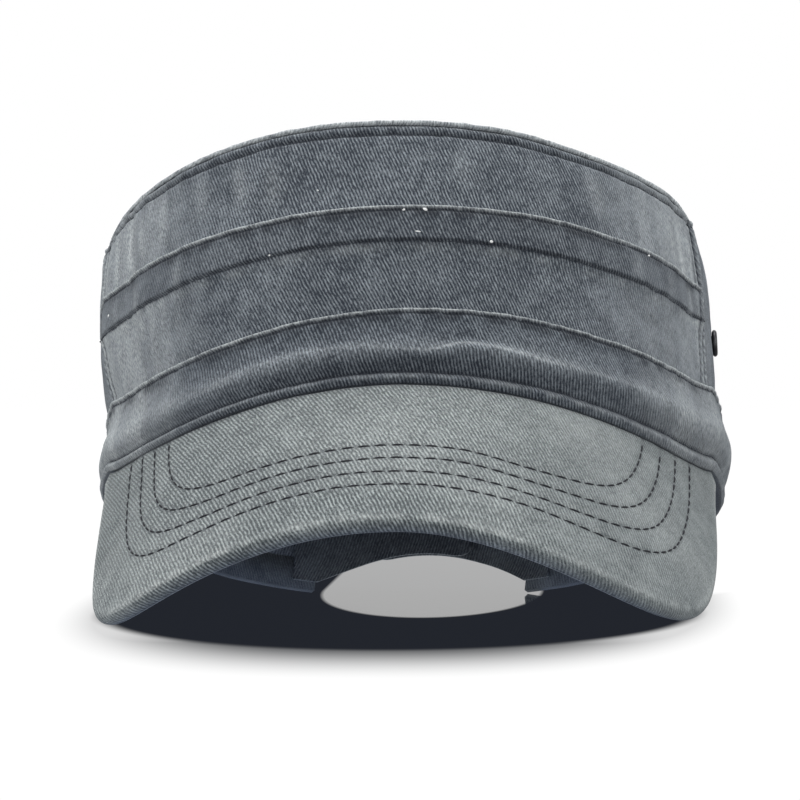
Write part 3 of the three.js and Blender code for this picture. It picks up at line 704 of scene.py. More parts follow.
rim_along = rim_angles * HALF_WIDTH
puff = 0.28 * ripple(rim_along, 2.4, 41) + 0.14 * ripple(rim_along, 1.2, 42)
sections = []
weaves = []
marks = {"wear_and_highlight": [], "crease_and_shade": [], "contrast": []}
profile = RIM_PROFILE + [(inset, TOP_LIFT) for inset in np.linspace(6.6, TOP_CORE, 64)]
under = [(inset, TOP_UNDER) for inset in np.linspace(TOP_CORE, 4, 12)] + [(0.2, 0.2)]
for index, (inset, lift) in enumerate(profile + under):
    above = index < len(profile)
    swell = puff * math.exp(-abs(inset - 1.4) / 1.6) + row_puckers(inset)
    lift = lift + swell * above
    ring = top_ring(inset, lift)
    soft = 0.5 * lumps(ring[:, 0] * 1000, ring[:, 1] * 1000, 18, 44) * min(max(inset - 3, 0) / 12, 1)
    ring = top_ring(inset, lift + soft * above)
    sections.append(ring)
    weaves.append(np.stack([ring[:, 0], ring[:, 1] - ring[:, 2]], -1) * 1000)
    edge = line(inset + 0.2, 1.0) * (0.6 + 0.3 * ripple(rim_along, 2.4, 41))
    clouds = 0.14 + 0.16 * lumps(ring[:, 0] * 1000, ring[:, 1] * 1000, 24, 45)
    marks["wear_and_highlight"].append(above * (edge + clouds))
    sunk = 0.75 * line(inset - TOP_ROW, 0.5) + 0.3 * (inset < -0.1) * (lift < 0.3)
    sunk = sunk + 0.3 * line(inset - 1.6, 0.9)
    # The top's underside, inside the crown, gets painted shade
    marks["crease_and_shade"].append(sunk * above + 0.35 * (not above) + 0 * rim_along)
    marks["contrast"].append(0.6 + 0 * rim_along)
points = np.array(sections)
at = np.arange(len(points) * RIM_POINTS).reshape(len(points), RIM_POINTS)
sides = np.stack([at[:-1], np.roll(at[:-1], -1, 1), np.roll(at[1:], -1, 1), at[1:]], -1)
shut = np.stack([at[-1], np.roll(at[-1], -1), np.roll(at[0], -1), at[0]], -1)
top_faces = np.concatenate((sides.reshape(-1, 4), shut))
# The innermost rings above and below are shut by one face each
inner_row = len(profile) - 1
keep = ~np.isin(top_faces[:, 0], at[inner_row])
rings = [at[inner_row].tolist(), at[inner_row + 1][::-1].tolist()]
top_faces = top_faces[keep].tolist() + rings
flat_top = cloth_mesh(
    "top_cloth",
    points,
    top_faces,
    np.array(weaves),
    {mark: np.array(values) for mark, values in marks.items()},
    panel_twill,
)
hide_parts("top_panel")

# BAND
# A wide strip of twill round the foot of the crown. Its top edge is a second sharp fold over the
# panels. Its lower half bellies out over the hem, which is rolled and stitched, and behind the
# peak's ends it runs on to the opening.
BAND_STAND = 0.56 + CLOTH
BAND_ROW = 21.0
HEM_ROW = 3.5
FOLD_TOP = 22.15
HEM_CLOTH = 3.0
BELLY = 1.8
# Section of the band: height as a share of its own, and the cloth's stand as a share of the belly
BAND_PROFILE = np.array([
    [0.0, -0.1], [0.07, 0.3], [0.155, -0.15], [0.3, 0.7], [0.46, 1.0], [0.6, 0.45], [0.8, -0.05],
    [1.0, 0.0],
])
# The belly's fold in front: angle in degrees, height and how far its cloth stands out
CREASE = np.array([
    [-52, 8.2, 0.0], [-40, 9.6, 0.2], [-24, 12.6, 0.35], [-10, 11.6, 0.3], [0, 9.6, 0.55],
    [4.4, 9.5, 0.9], [9.6, 11.9, 1.0], [16, 11.6, 0.9], [24, 10.3, 0.75], [32, 10.4, 0.5],
    [45, 10.7, 0.3], [60, 9.5, 0.0],
])
band_twill = twill(
    "band twill",
    dark=(0.018, 0.024, 0.035, 1.0),
    light=(0.255, 0.288, 0.322, 1.0),
    rubbed_and_highlight=(0.60, 0.64, 0.65, 1.0),
    wash=0.45,
)


def crease_away(angle, height):
    return height - through(CREASE, np.degrees(angle), 1)


def crease_size(angle):
    """How far the cloth stands out along the belly's fold, and nothing past its two ends"""
    return through(CREASE, np.degrees(angle), 2)


def band_out(height):
    return BAND_STAND + BELLY * through(BAND_PROFILE, height / BAND, 1)


def band_relief(angle, height):
    along = angle * HALF_WIDTH
    away = crease_away(angle, height)
    fold = crease_size(angle) * (0.8 * line(away + 1.8, 2.0) - 0.4 * line(away - 1.6, 1.4))
    soft = 0.25 * lumps(along, height, 14, 51) + 0.1 * lumps(along, height, 5, 52)
    top = -0.5 * line(height - BAND_ROW, 0.5) + 0.2 * line(height - 22.1, 0.5)
    hem = -0.5 * line(height - HEM_ROW, 0.5) + 0.25 * line(height - 1.8, 1.0)
    tucks = 0.3 * puckers(height - BAND_ROW, along, 3.5, 2.3, 53)
    return fold + soft + top + hem + tucks + 0.16 * puckers(height - HEM_ROW, along, 2.5, 2.4, 54)


def band_wear_and_highlight(angle, height):
    along = angle * HALF_WIDTH
    edge = line(height - FOLD_TOP, 0.65) * (0.9 + 0.45 * ripple(along, 1.1, 58))
    # Painted highlight along the belly's crease and over the belly
    fold = 0.3 * crease_size(angle) * line(crease_away(angle, height) + 0.2, 0.6)
    belly = 0.16 * line(height - 10.5, 3.0) * (0.8 + 0.4 * ripple(along, 9, 55))
    hem = 0.2 * line(height - 1.9, 0.8) * (1 + ripple(along, 2.2, 59))
    # Lighter towards the ends, the left one more: rubbed, and painted highlight where the sides are lit
    ends = np.where(angle < 0, 0.85, 0.56) * towards_ends(angle, 42, 18)
    return edge + fold + belly + hem + ends * (0.7 + 0.3 * ripple(along, 5, 56))


def band_crease_and_shade(angle, height):
    along = angle * HALF_WIDTH
    fold = fold_row_and_tuck_shade(height, along, BAND_ROW, 0.3, (57, 60))
    hem = line(height - HEM_ROW, 0.5) * (0.8 + 0.25 * ripple(along, 1.9, 61))
    # Painted shade over the hem below its row
    hem = hem + 0.25 * np.clip((HEM_ROW - height) / 0.8, 0, 1)
    # Painted shade under the belly and along the foot. This and the darker strip below the fold's row
    # are made strongest in the middle of the front, as painted shade
    under = 0.42 * line(height - 5.6, 2.0) + 0.4 * np.clip((0.6 - height) / 0.6, 0, 1)
    middle = np.clip(1 - np.abs(np.degrees(angle)) / 60, 0, 1)
    strip = 0.2 * np.clip((height - 13.5) / 2, 0, 1) * np.clip((BAND_ROW - height) / 1.5, 0, 1)
    return fold + hem + (under + strip) * (0.5 + 0.5 * middle)


outer_heights = np.concatenate((np.arange(0.0, 21.9, 0.38), [22.1, 22.35, BAND]))
outer_outs = band_out(outer_heights)
outer_outs[-3:] -= [0.05, 0.35, 0.75]
# Behind, the band is thin where it lies over the panels and has the hem's thickness below them
inner_heights = np.array([22.4, 17.0, 12.2, 12.2, 6.0, 0.0])
inner_outs = np.array([0.6] * 3 + [BAND_STAND - HEM_CLOTH] * 3)
heights = np.concatenate((outer_heights, inner_heights))[None, :]
outs = np.concatenate((outer_outs, inner_outs))[None, :]
band_end = math.pi - ARCH_HALF - GAP / 2 / HALF_WIDTH
face = (len(outer_heights), band_relief, band_wear_and_highlight, band_crease_and_shade, front_contrast)
band = wall_cloth("band_cloth", np.linspace(-band_end, band_end, 640), heights, outs, face, band_twill)
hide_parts("band")

# PEAK
# A stiff board bent round the brow, covered above in faded twill that is drawn over its front
# edge, and lined below with the same cloth. The cover's turned edge ends in a seam underneath.
PEAK_LENGTH = 65.5
PEAK_THICK = 4.8
PEAK_LIP = 3.0
PEAK_SPREAD = 3.0
PEAK_START = -30.0
LEFT_POWER = 4.1
RIGHT_POWER = 2.35
RIGHT_FLARE = 51.0
PEAK_END_SHARE = 0.962
PEAK_SIDE_SHARE = 0.1
PEAK_END_SIDE = BEND * math.asin(PEAK_END_REACH / BEND)
# The weave runs on the peak's own grain, a little stretched along it and bent
WEAVE_ACROSS = 0.87
WEAVE_ALONG = 1.2
WEAVE_BEND = 0.0035
peak_twill = twill(
    "peak twill",
    dark=(0.050, 0.060, 0.064, 1.0),
    light=(0.385, 0.423, 0.420, 1.0),
    rubbed_and_highlight=(0.64, 0.67, 0.66, 1.0),
    wash=0.35,
)


def cover_swell(side, run):
    """Soft unevenness of the peak's cover"""
    return 0.22 * lumps(side, run, 17, 61) + 0.07 * lumps(side, run, 6, 62)


def peak_root(side):
    """How far down the peak's slope its root is, on the hem"""
    x = BEND * np.sin(side / BEND)
    angle = np.arcsin(np.clip(x / HALF_WIDTH, -1, 1))
    y = HALF_LENGTH * (1 - np.cos(angle)) - squareness(angle)
    return (peak_sag(x) * math.sin(DROOP) - y) / math.cos(DROOP)


def on_peak(side, run, depth):
    turn = side / BEND
    radius = BEND - depth
    sag = BEND - radius * np.cos(turn)
    return stand(
        radius * np.sin(turn),
        -run * math.cos(DROOP) + sag * math.sin(DROOP),
        -run * math.sin(DROOP) - sag * math.cos(DROOP),
    )


def rounded_front(turn, half, start, length, power, flare):
    """Side and run at a turn of 0 to a quarter circle, round a front that gets longer by its
    flare towards the side"""
    reach = length + flare * np.sin(turn) ** 2 - start
    radius = ((np.sin(turn) / half) ** power + (np.cos(turn) / reach) ** power) ** (-1 / power)
    return radius * np.sin(turn), start + radius * np.cos(turn)


def peak_outline(share, inset):
    """Side and run of the place at a share of the way round the peak, and its root's"""
    across = np.abs(share)
    half = PEAK_END_SIDE + PEAK_SPREAD - inset
    turn = np.minimum(across / (1 - PEAK_SIDE_SHARE), 1) * math.pi / 2
    power = np.where(share < 0, LEFT_POWER, RIGHT_POWER)
    flare = np.where(share < 0, 0.0, RIGHT_FLARE)
    side, run = rounded_front(turn, half, PEAK_START, PEAK_LENGTH - inset, power, flare)
    end = peak_root(np.array(PEAK_END_SIDE))
    straight = across >= 1 - PEAK_SIDE_SHARE
    side = np.where(straight, half, side)
    run = np.where(straight, end + (PEAK_START - end) * (1 - across) / PEAK_SIDE_SHARE, run)
    return (np.sign(share) * side, run), (share * half, peak_root(share * half))


# Rows of stitches on the flat peak, from the inside: half widths to the left and right, and run
PEAK_ROWS = [(74.4, 75.2, 29.4), (80.3, 82.0, 35.5), (85.9, 88.5, 42.0), (92.3, 95.4, 48.1)]
ROW_START = -71.0
LEFT_ROW_POWER = 6.06
RIGHT_ROW_POWER = 3.68
RIGHT_ROW_FLARE = 32.7
flat_rows = []
for left, right, length in PEAK_ROWS:
    share = np.linspace(-1, 1, 1400)
    half = np.where(share < 0, left, right)
    power = np.where(share < 0, LEFT_ROW_POWER, RIGHT_ROW_POWER)
    flare = np.where(share < 0, 0.0, RIGHT_ROW_FLARE)
    turn = np.abs(share) * math.pi / 2
    side, run = rounded_front(turn, half, ROW_START, length, power, flare)
    side = side * np.sign(share)
    keep = run > peak_root(side) + 0.4
    flat_rows.append((side[keep], run[keep]))
row_spots = np.concatenate([np.stack(row, -1) for row in flat_rows])
row_tree = kdtree.KDTree(len(row_spots))
for index, (side, run) in enumerate(row_spots.tolist()):
    row_tree.insert((side, run, 0.0), index)
row_tree.balance()


def from_rows(side, run):
    """Millimetres on the flat peak from each place to the nearest row of stitches"""
    spots = np.stack([side, run], -1).reshape(-1, 2).tolist()
    away = [row_tree.find((x, y, 0.0))[2] for x, y in spots]
    return np.array(away).reshape(side.shape)


def peak_cloth(name, corners, inset, marks_at, finish):
    """A layer of the peak from [place, depth] corners: a place under 1 is a share of the way from
    the root to the rounded edge, and one from 1 on is 1 and more millimetres in from the edge"""
    share = np.linspace(-PEAK_END_SHARE, PEAK_END_SHARE, 420)
    edge, root = peak_outline(share, inset)
    length = np.hypot(edge[0] - root[0], edge[1] - root[1])
    squeeze = np.minimum(1, 0.32 * length / PEAK_THICK)
    place = np.array([corner[0] for corner in corners])[None, :]
    depth = np.array([corner[1] for corner in corners])[None, :]
    flat_part = (1 - 0.52 * PEAK_THICK * squeeze / length)[:, None]
    inwards = (place - 1) * squeeze[:, None] / length[:, None]
    along = np.where(place < 1, place * flat_part, 1 - inwards)
    side = root[0][:, None] + (edge[0] - root[0])[:, None] * along
    run = root[1][:, None] + (edge[1] - root[1])[:, None] * along
    from_edge = (1 - along) * length[:, None]
    relief, marks = marks_at(side, run, from_edge, depth)
    down = -WEAVE_ALONG * run + WEAVE_BEND * run**2 - depth * (from_edge < 4)
    weave = np.stack([WEAVE_ACROSS * side, down], -1)
    return swept(name, on_peak(side, run, depth - relief), weave, marks, finish)


def cover_marks(side, run, from_edge, depth):
    upper = depth < 0.4
    at_edge = from_edge < 2.6
    stitched_in = line(from_rows(side, run), 0.75) * upper
    near = np.clip(from_edge / 4, 0, 1)
    relief = upper * near * cover_swell(side, run)
    relief = relief + 0.1 * line(depth - 2.4, 1.2) * ripple(side, 1.6, 63)
    relief = relief - 0.16 * stitched_in
    # A pale band over the turn of the front edge: rubbed pale, and painted highlight
    turn = line(from_edge - 2.2, 1.8) * upper * (0.15 + 0.15 * ripple(side, 3, 64))
    clouds = 0.14 * np.clip(lumps(side, run, 26, 65) + 0.2, 0, 1)
    lip = 0.6 * line(depth - 4.25, 0.25) * at_edge
    front = at_edge * np.clip((depth - 0.8) / 1.2, 0, 1)
    middle = 0.12 * line(side - 5, 40.0) * np.clip((from_edge - 12) / 10, 0, 1) * upper
    wear_and_highlight = turn + clouds * upper + lip + middle + 0.04 * front
    # Painted shade under the turned edge and in the furrows along the rows of stitches. The thin line
    # at the lip's edge is a dark joint
    crease_and_shade = 0.6 * (depth > 4.6) * (from_edge < 4) + 0.3 * stitched_in
    crease_and_shade = crease_and_shade + 0.7 * line(depth - 3.7, 0.2) * at_edge
    crease_and_shade = crease_and_shade + 0.16 * front * (1 + ripple(side, 1.3, 67))
    # Painted shade at the peak's root, under the hem
    root = 0.5 * np.clip(1 - (run - peak_root(side)) / 1.5, 0, 1) * upper
    contrast = 1.0 - 0.55 * np.clip((side - 15) / 40, 0, 1) - 0.4 * np.clip((-side - 70) / 20, 0, 1)
    return relief, {"wear_and_highlight": wear_and_highlight, "crease_and_shade": crease_and_shade + root, "contrast": contrast + 0 * wear_and_highlight}


def lining_marks(side, run, from_edge, depth):
    soft = -0.15 * lumps(side, run, 17, 66) * (depth > 4)
    still = np.zeros(side.shape)
    # A little painted shade on the lining
    return soft, {"wear_and_highlight": still, "crease_and_shade": still + 0.05, "contrast": still + 0.5}


lip_depth = PEAK_THICK - CLOTH - GAP
round_edge = PEAK_THICK / 2
turns = np.linspace(0, math.pi, 25)
cover_corners = [(place, 0.0) for place in np.linspace(0, 0.995, 100)]
cover_corners += [(1 + round_edge * (1 - math.sin(t)), round_edge * (1 - math.cos(t))) for t in turns]
cover_corners += [(1 + PEAK_LIP, PEAK_THICK), (1 + PEAK_LIP, lip_depth)]
cover_corners += [(place, lip_depth) for place in (0.75, 0.5, 0.25, 0.0)]
cover = peak_cloth("peak_cover", cover_corners, 0.0, cover_marks, peak_twill)
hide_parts("peak_top")

inner_depth = PEAK_THICK - CLOTH
lining_corners = [(place, inner_depth) for place in (0.0, 0.25, 0.5, 0.75)] + [(1.0, inner_depth)]
lining_corners += [(1.0, PEAK_THICK)] + [(place, PEAK_THICK) for place in np.linspace(0.97, 0, 50)]
lining = peak_cloth("peak_lining", lining_corners, PEAK_LIP + 0.6, lining_marks, peak_twill)
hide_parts("peak_under")

# STRAP
# Two short straps of doubled twill, sewn inside the ends of the band. The right one laps over
# the left and closes on it, and has a rounded end. Each is stitched round its edge.
STRAP_WIDTH = 20.0
STRAP_FOOT = 3.0
STRAP_RISE = 13.0
STRAP_ROW = 0.84
STRAP_INSIDE = 9.0
STRAP_LAP = 17.0
STRAP_CORNER = 7.0
strap_twill = twill(
    "strap twill",
    dark=(0.022, 0.028, 0.040, 1.0),
    light=(0.265, 0.300, 0.330, 1.0),
    rubbed_and_highlight=(0.58, 0.62, 0.64, 1.0),
    wash=0.45,
)


def strap_bottom(angle):
    toward = (np.abs(angle) - (math.pi - ARCH_HALF)) / ARCH_HALF
    toward = np.clip(1 - np.abs(1 - toward), 0, 1)
    return STRAP_FOOT + STRAP_RISE * np.sin(toward * math.pi / 2)


def strap_face(hand, angle):
    """How far out the strap's outer face is"""
    turned = (np.abs(angle) - (math.pi - ARCH_HALF)) / ARCH_HALF
    step = (CLOTH + GAP) * np.clip((turned - 0.15) / 0.31, 0, 1)
    return -CLOTH - GAP + (step if hand > 0 else 0 * step)


for name, hand in (("strap_left", -1), ("strap_right", 1)):
    end = math.pi + STRAP_LAP / HALF_LENGTH
    angles = np.linspace(math.pi - ARCH_HALF - STRAP_INSIDE / HALF_LENGTH, end, 90) * hand
    from_end = (end - np.abs(angles)) * HALF_LENGTH
    rounding = np.sqrt(np.clip(1 - np.clip(1 - from_end / STRAP_CORNER, 0, 1) ** 2, 0.02, 1))
    half = STRAP_WIDTH / 2 * (0.45 + 0.55 * rounding)
    middle = strap_bottom(angles) + STRAP_WIDTH / 2
    across = np.linspace(-1, 1, 27)
    outer = middle[:, None] + half[:, None] * across[None, :]
    heights = np.concatenate((outer, outer[:, ::-1]), 1)
    front = strap_face(hand, angles)[:, None] - 0.25 * (np.abs(across) > 0.96)[None, :]
    rows = line(np.abs(across) - STRAP_ROW, 0.04)
    ripples = 0.1 * ripple(angles[:, None] * HALF_LENGTH + 0 * outer, 2.6, 71 + hand)
    outs = np.concatenate((front - 0.15 * rows[None, :] + ripples * 0.6, front - CLOTH + 0.3), 1)
    angle = np.broadcast_to(angles[:, None], heights.shape)
    edge = np.concatenate((0.7 * (np.abs(across) > 0.93), 0 * across))[None, :] + 0 * heights
    # The rows of stitches are dark; the strap's inner face gets painted shade
    dark = np.concatenate((0.55 * rows, 0 * across + 0.3))[None, :]
    marks = {"wear_and_highlight": edge + 0.08, "crease_and_shade": dark + 0 * heights, "contrast": 0.6 + 0 * heights}
    weave = np.stack([angle * HALF_WIDTH, heights + 40], -1)
    strap = swept(name + "_cloth", wall(angle, heights, outs), weave, marks, strap_twill)
    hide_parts(name)

# STITCHING
# Polyester thread, dark grey where it closes the crown's seams and near black in the four rows
# that quilt the peak. Each stitch is one short rounded length of thread, pulled into the cloth.
THREAD_SIDES = 6
STITCH_RINGS = 5
# Half the thread's thickness, and length and gap of the stitches, in millimetres
CROWN_STITCH = (0.17, 1.9, 0.55)
PEAK_STITCH = (0.28, 3.9, 0.7)
STRAP_STITCH = (0.16, 1.9, 0.6)
PEAK_THREAD_SUNK = 0.16


def thread_finish(name, colour):
    made, tree, surface = new_finish(name, Roughness=0.7, Specular_IOR_Level=0.3)
    twist = noise(tree, node(tree, "TexCoord").outputs["Object"], 2200.0, 2.0)
    paler = tuple(min(c * 2.2 + 0.01, 1.0) for c in colour[:3]) + (1.0,)
    tree.links.new(mixed(tree, twist, colour, paler), surface.inputs["Base Color"])
    bump = node(tree, "Bump", Strength=0.5, Distance=0.0001, Height=twist)
    tree.links.new(bump.outputs[0], surface.inputs["Normal"])
    return made


grey_thread = thread_finish("dark grey thread", (0.018, 0.022, 0.030, 1.0))
black_thread = thread_finish("near black thread", (0.0035, 0.004, 0.007, 1.0))


def stitched(name, rows, stitch, finish):
    """Rows of stitches along paths, each given as its places and the way out of the cloth"""
    thread, length, gap = stitch
    t = np.linspace(0, 1, STITCH_RINGS)
    swell = np.array([0.45, 0.95, 1.0, 0.95, 0.45])
    turns = np.arange(THREAD_SIDES) * 2 * math.pi / THREAD_SIDES
    rings = []
    for places, outward in rows:
        reach = np.concatenate(([0], np.cumsum(np.linalg.norm(np.diff(places, axis=0), axis=1))))
        starts = np.arange(gap, reach[-1] * 1000 - length, length + gap) / 1000
        at = starts[:, None] + t[None, :] * length / 1000
        spot = np.stack([np.interp(at, reach, places[:, k]) for k in range(3)], -1)
        up = np.stack([np.interp(at, reach, outward[:, k]) for k in range(3)], -1)
        up /= np.linalg.norm(up, axis=-1, keepdims=True)
        ahead = spot[:, -1:] - spot[:, :1]
        aside = np.cross(up, ahead)
        aside /= np.linalg.norm(aside, axis=-1, keepdims=True)
        lift = thread * (np.sin(math.pi * t) * 0.9 - 0.35)
        centre = spot + up * lift[None, :, None] / 1000
        wide = (thread * swell / 1000)[None, :, None, None]
        around = aside[:, :, None] * np.cos(turns)[:, None] + up[:, :, None] * np.sin(turns)[:, None]
        rings.append(centre[:, :, None] + around * wide)
    points = np.concatenate(rings)
    at = np.arange(len(points) * STITCH_RINGS * THREAD_SIDES).reshape(-1, STITCH_RINGS, THREAD_SIDES)
    a, b = at[:, :-1], at[:, 1:]
    sides = np.stack([a, np.roll(a, -1, 2), np.roll(b, -1, 2), b], -1).reshape(-1, 4)
    faces = sides.tolist() + at[:, 0].tolist() + at[:, -1, ::-1].tolist()
    mesh = bpy.data.meshes.new(name)
    mesh.from_pydata(points.reshape(-1, 3).tolist(), [], faces)
    finished_piece(name, mesh, finish)


def wall_row(angle, height, out, relief):
    """A row of stitches on the wall: its places, and the way out of the cloth"""
    height = height + 0 * angle
    angle = angle + 0 * height
    level = out + relief(angle, height)
    places = wall(angle, height, level)
    return places, wall(angle, height, level + 1) - places


# Rows end a little short of the seams and folds that they run up to
front = np.linspace(LEFT_SEAM, RIGHT_SEAM, 700)
round_band = np.linspace(-band_end, band_end, 1400)
ROW_LOW = BAND + 1.0
ROW_HIGH = RIM_ROW - 0.5
ROW_OVER_ARCH = ARCH_HEIGHT + ARCH_HEM + 0.5
crown_rows = [
    wall_row(front, RIM_ROW, 0.0, upper_relief),
    wall_row(np.linspace(RIGHT_SEAM, math.pi, 600), RIM_ROW, 0.0, side_relief),
    wall_row(np.linspace(-math.pi, LEFT_SEAM, 600), RIM_ROW, 0.0, side_relief),
    wall_row(front, FOLD_ROW, LAP_STAND, lower_relief),
    wall_row(front, LAP, 0.75 * LAP_STAND, lower_relief),
]
for seam in (LEFT_SEAM, RIGHT_SEAM):
    hand = np.sign(seam)
    inside = seam - SEAM_ROW * hand / HALF_WIDTH
    outside = seam + SEAM_ROW * hand / HALF_WIDTH
    behind_seam = hand * (math.pi - BACK_ROW / HALF_WIDTH)
    crown_rows += [
        wall_row(inside, np.linspace(RIDGE + 1.0, ROW_HIGH, 160), 0.0, upper_relief),
        wall_row(inside, np.linspace(LAP + 1.5, FOLD_ROW - 0.7, 60), LAP_STAND, lower_relief),
        wall_row(inside, np.linspace(ROW_LOW, LAP - 2.0, 80), 0.0, lower_relief),
        wall_row(outside, np.linspace(ROW_LOW, ROW_HIGH, 160), 0.0, side_relief),
        wall_row(behind_seam, np.linspace(ROW_OVER_ARCH, ROW_HIGH, 120), 0.0, side_relief),
    ]
turn = np.linspace(0.0, 0.5 * math.pi, 500)
aside = np.sin(turn) ** (2 / ARCH_POWER) * ((ARCH_REACH + ARCH_HEM) / HALF_WIDTH)
height = (ARCH_HEIGHT + ARCH_HEM) * np.cos(turn) ** (2 / ARCH_POWER)
keep = height > ROW_LOW
for hand in (-1, 1):
    crown_rows.append(wall_row(hand * (math.pi - aside[keep]), height[keep], 0.0, side_relief))
stitched("crown_stitches", crown_rows, CROWN_STITCH, grey_thread)

ring = top_ring(TOP_ROW, TOP_ROW_LIFT + row_puckers(TOP_ROW))
ring = np.concatenate((ring, ring[:1]))
upward = np.broadcast_to([0.0, math.sin(REST_TILT), math.cos(REST_TILT)], ring.shape)
stitched("top_stitches", [(ring, upward)], CROWN_STITCH, grey_thread)

band_rows = [wall_row(round_band, row, band_out(row), band_relief) for row in (BAND_ROW, HEM_ROW)]
stitched("band_stitches", band_rows, CROWN_STITCH, grey_thread)

peak_rows = []
for side, run in flat_rows:
    depth = PEAK_THREAD_SUNK - cover_swell(side, run)
    places = on_peak(side, run, depth)
    peak_rows.append((places, on_peak(side, run, depth - 1.0) - places))
stitched("peak_stitches", peak_rows, PEAK_STITCH, black_thread)

strap_rows = []
row_end = math.pi + (STRAP_LAP - 6.0) / HALF_LENGTH
for hand in (-1, 1):
    angles = np.linspace(math.pi - ARCH_HALF + 0.02, row_end, 200) * hand
    for across in (-STRAP_ROW, STRAP_ROW):
        height = strap_bottom(angles) + STRAP_WIDTH / 2 * (1 + across)
        out = strap_face(hand, angles)
        places = wall(angles, height, out)
        strap_rows.append((places, wall(angles, height, out + 1) - places))
stitched("strap_stitches", strap_rows, STRAP_STITCH, grey_thread)

# LINT
# A few flecks of white lint that cling to the front of the crown. Each is a small flat tuft that
# lies on the cloth, turned its own way.
LINT_THICK = 0.25
LINT_STAND = 0.1
# Angle in degrees, then height, half length and half width in millimetres
LINT = [
    (1.2, 52.3, 0.45, 0.3), (4.9, 52.4, 0.7, 0.42), (3.5, 45.5, 0.8, 0.22), (16.3, 43.6, 0.5, 0.42),
    (25.4, 42.5, 0.3, 0.25), (50.1, 52.1, 0.5, 0.25), (-67.5, 47.3, 0.6, 0.45),
    (-23.0, 43.3, 0.3, 0.25), (-3.0, 42.6, 0.5, 0.2), (-14.0, 61.0, 0.3, 0.2),
]
fluff = new_finish("white lint", Base_Color=(0.85, 0.86, 0.86, 1.0), Roughness=1.0)[0]
flecks = bmesh.new()
for degrees, height, long, wide in LINT:
    angle = np.array([math.radians(degrees)])
    height = np.array([height])
    out = LAP_STAND if LAP < height[0] < RIDGE else 0.0
    seat = Vector(wall(angle, height, np.array([out + LINT_STAND]))[0])
    outward = Vector(wall(angle, height, np.array([out + 1 + LINT_STAND]))[0]) - seat
    facing = outward.to_track_quat("Z", "Y").to_matrix().to_4x4()
    shape = Matrix.Diagonal((long / 1000, wide / 1000, LINT_THICK / 1000, 1.0))
    spin = Matrix.Rotation(0.5 * math.sin(degrees), 4, "Z")
    bmesh.ops.create_icosphere(
        flecks, subdivisions=2, radius=1.0, matrix=Matrix.Translation(seat) @ facing @ spin @ shape
    )
lint_mesh = bpy.data.meshes.new("lint")
flecks.to_mesh(lint_mesh)
flecks.free()
finished_piece("lint", lint_mesh, fluff)

# EYELETS
# Dark gunmetal rings pressed through each side of the crown for air: a rolled flange on the
# outside, a barrel through the cloth, and a flat washer behind it.
EYELET_HEIGHT = 46.0
FLANGE_RADIUS = 0.00295
FLANGE_ROUND = 0.00105
FLANGE_FLATTENED = 0.75
BARREL_RADIUS = 0.0023
BARREL_LENGTH = 0.003
BARREL_METAL = 0.0004
WASHER_SPREAD = 1.65
OUT_OF_CLOTH = 0.0007
gunmetal, tree, surface = new_finish("dark gunmetal", Metallic=0.9)
scuffs = noise(tree, node(tree, "TexCoord").outputs["Object"], 900.0, 3.0, 0.6)
tint = mixed(tree, scuffs, (0.02, 0.021, 0.024, 1.0), (0.09, 0.09, 0.095, 1.0))
tree.links.new(tint, surface.inputs["Base Color"])
tree.links.new(ramp(tree, scuffs, 0.3, 0.7, 0.28, 0.5), surface.inputs["Roughness"])

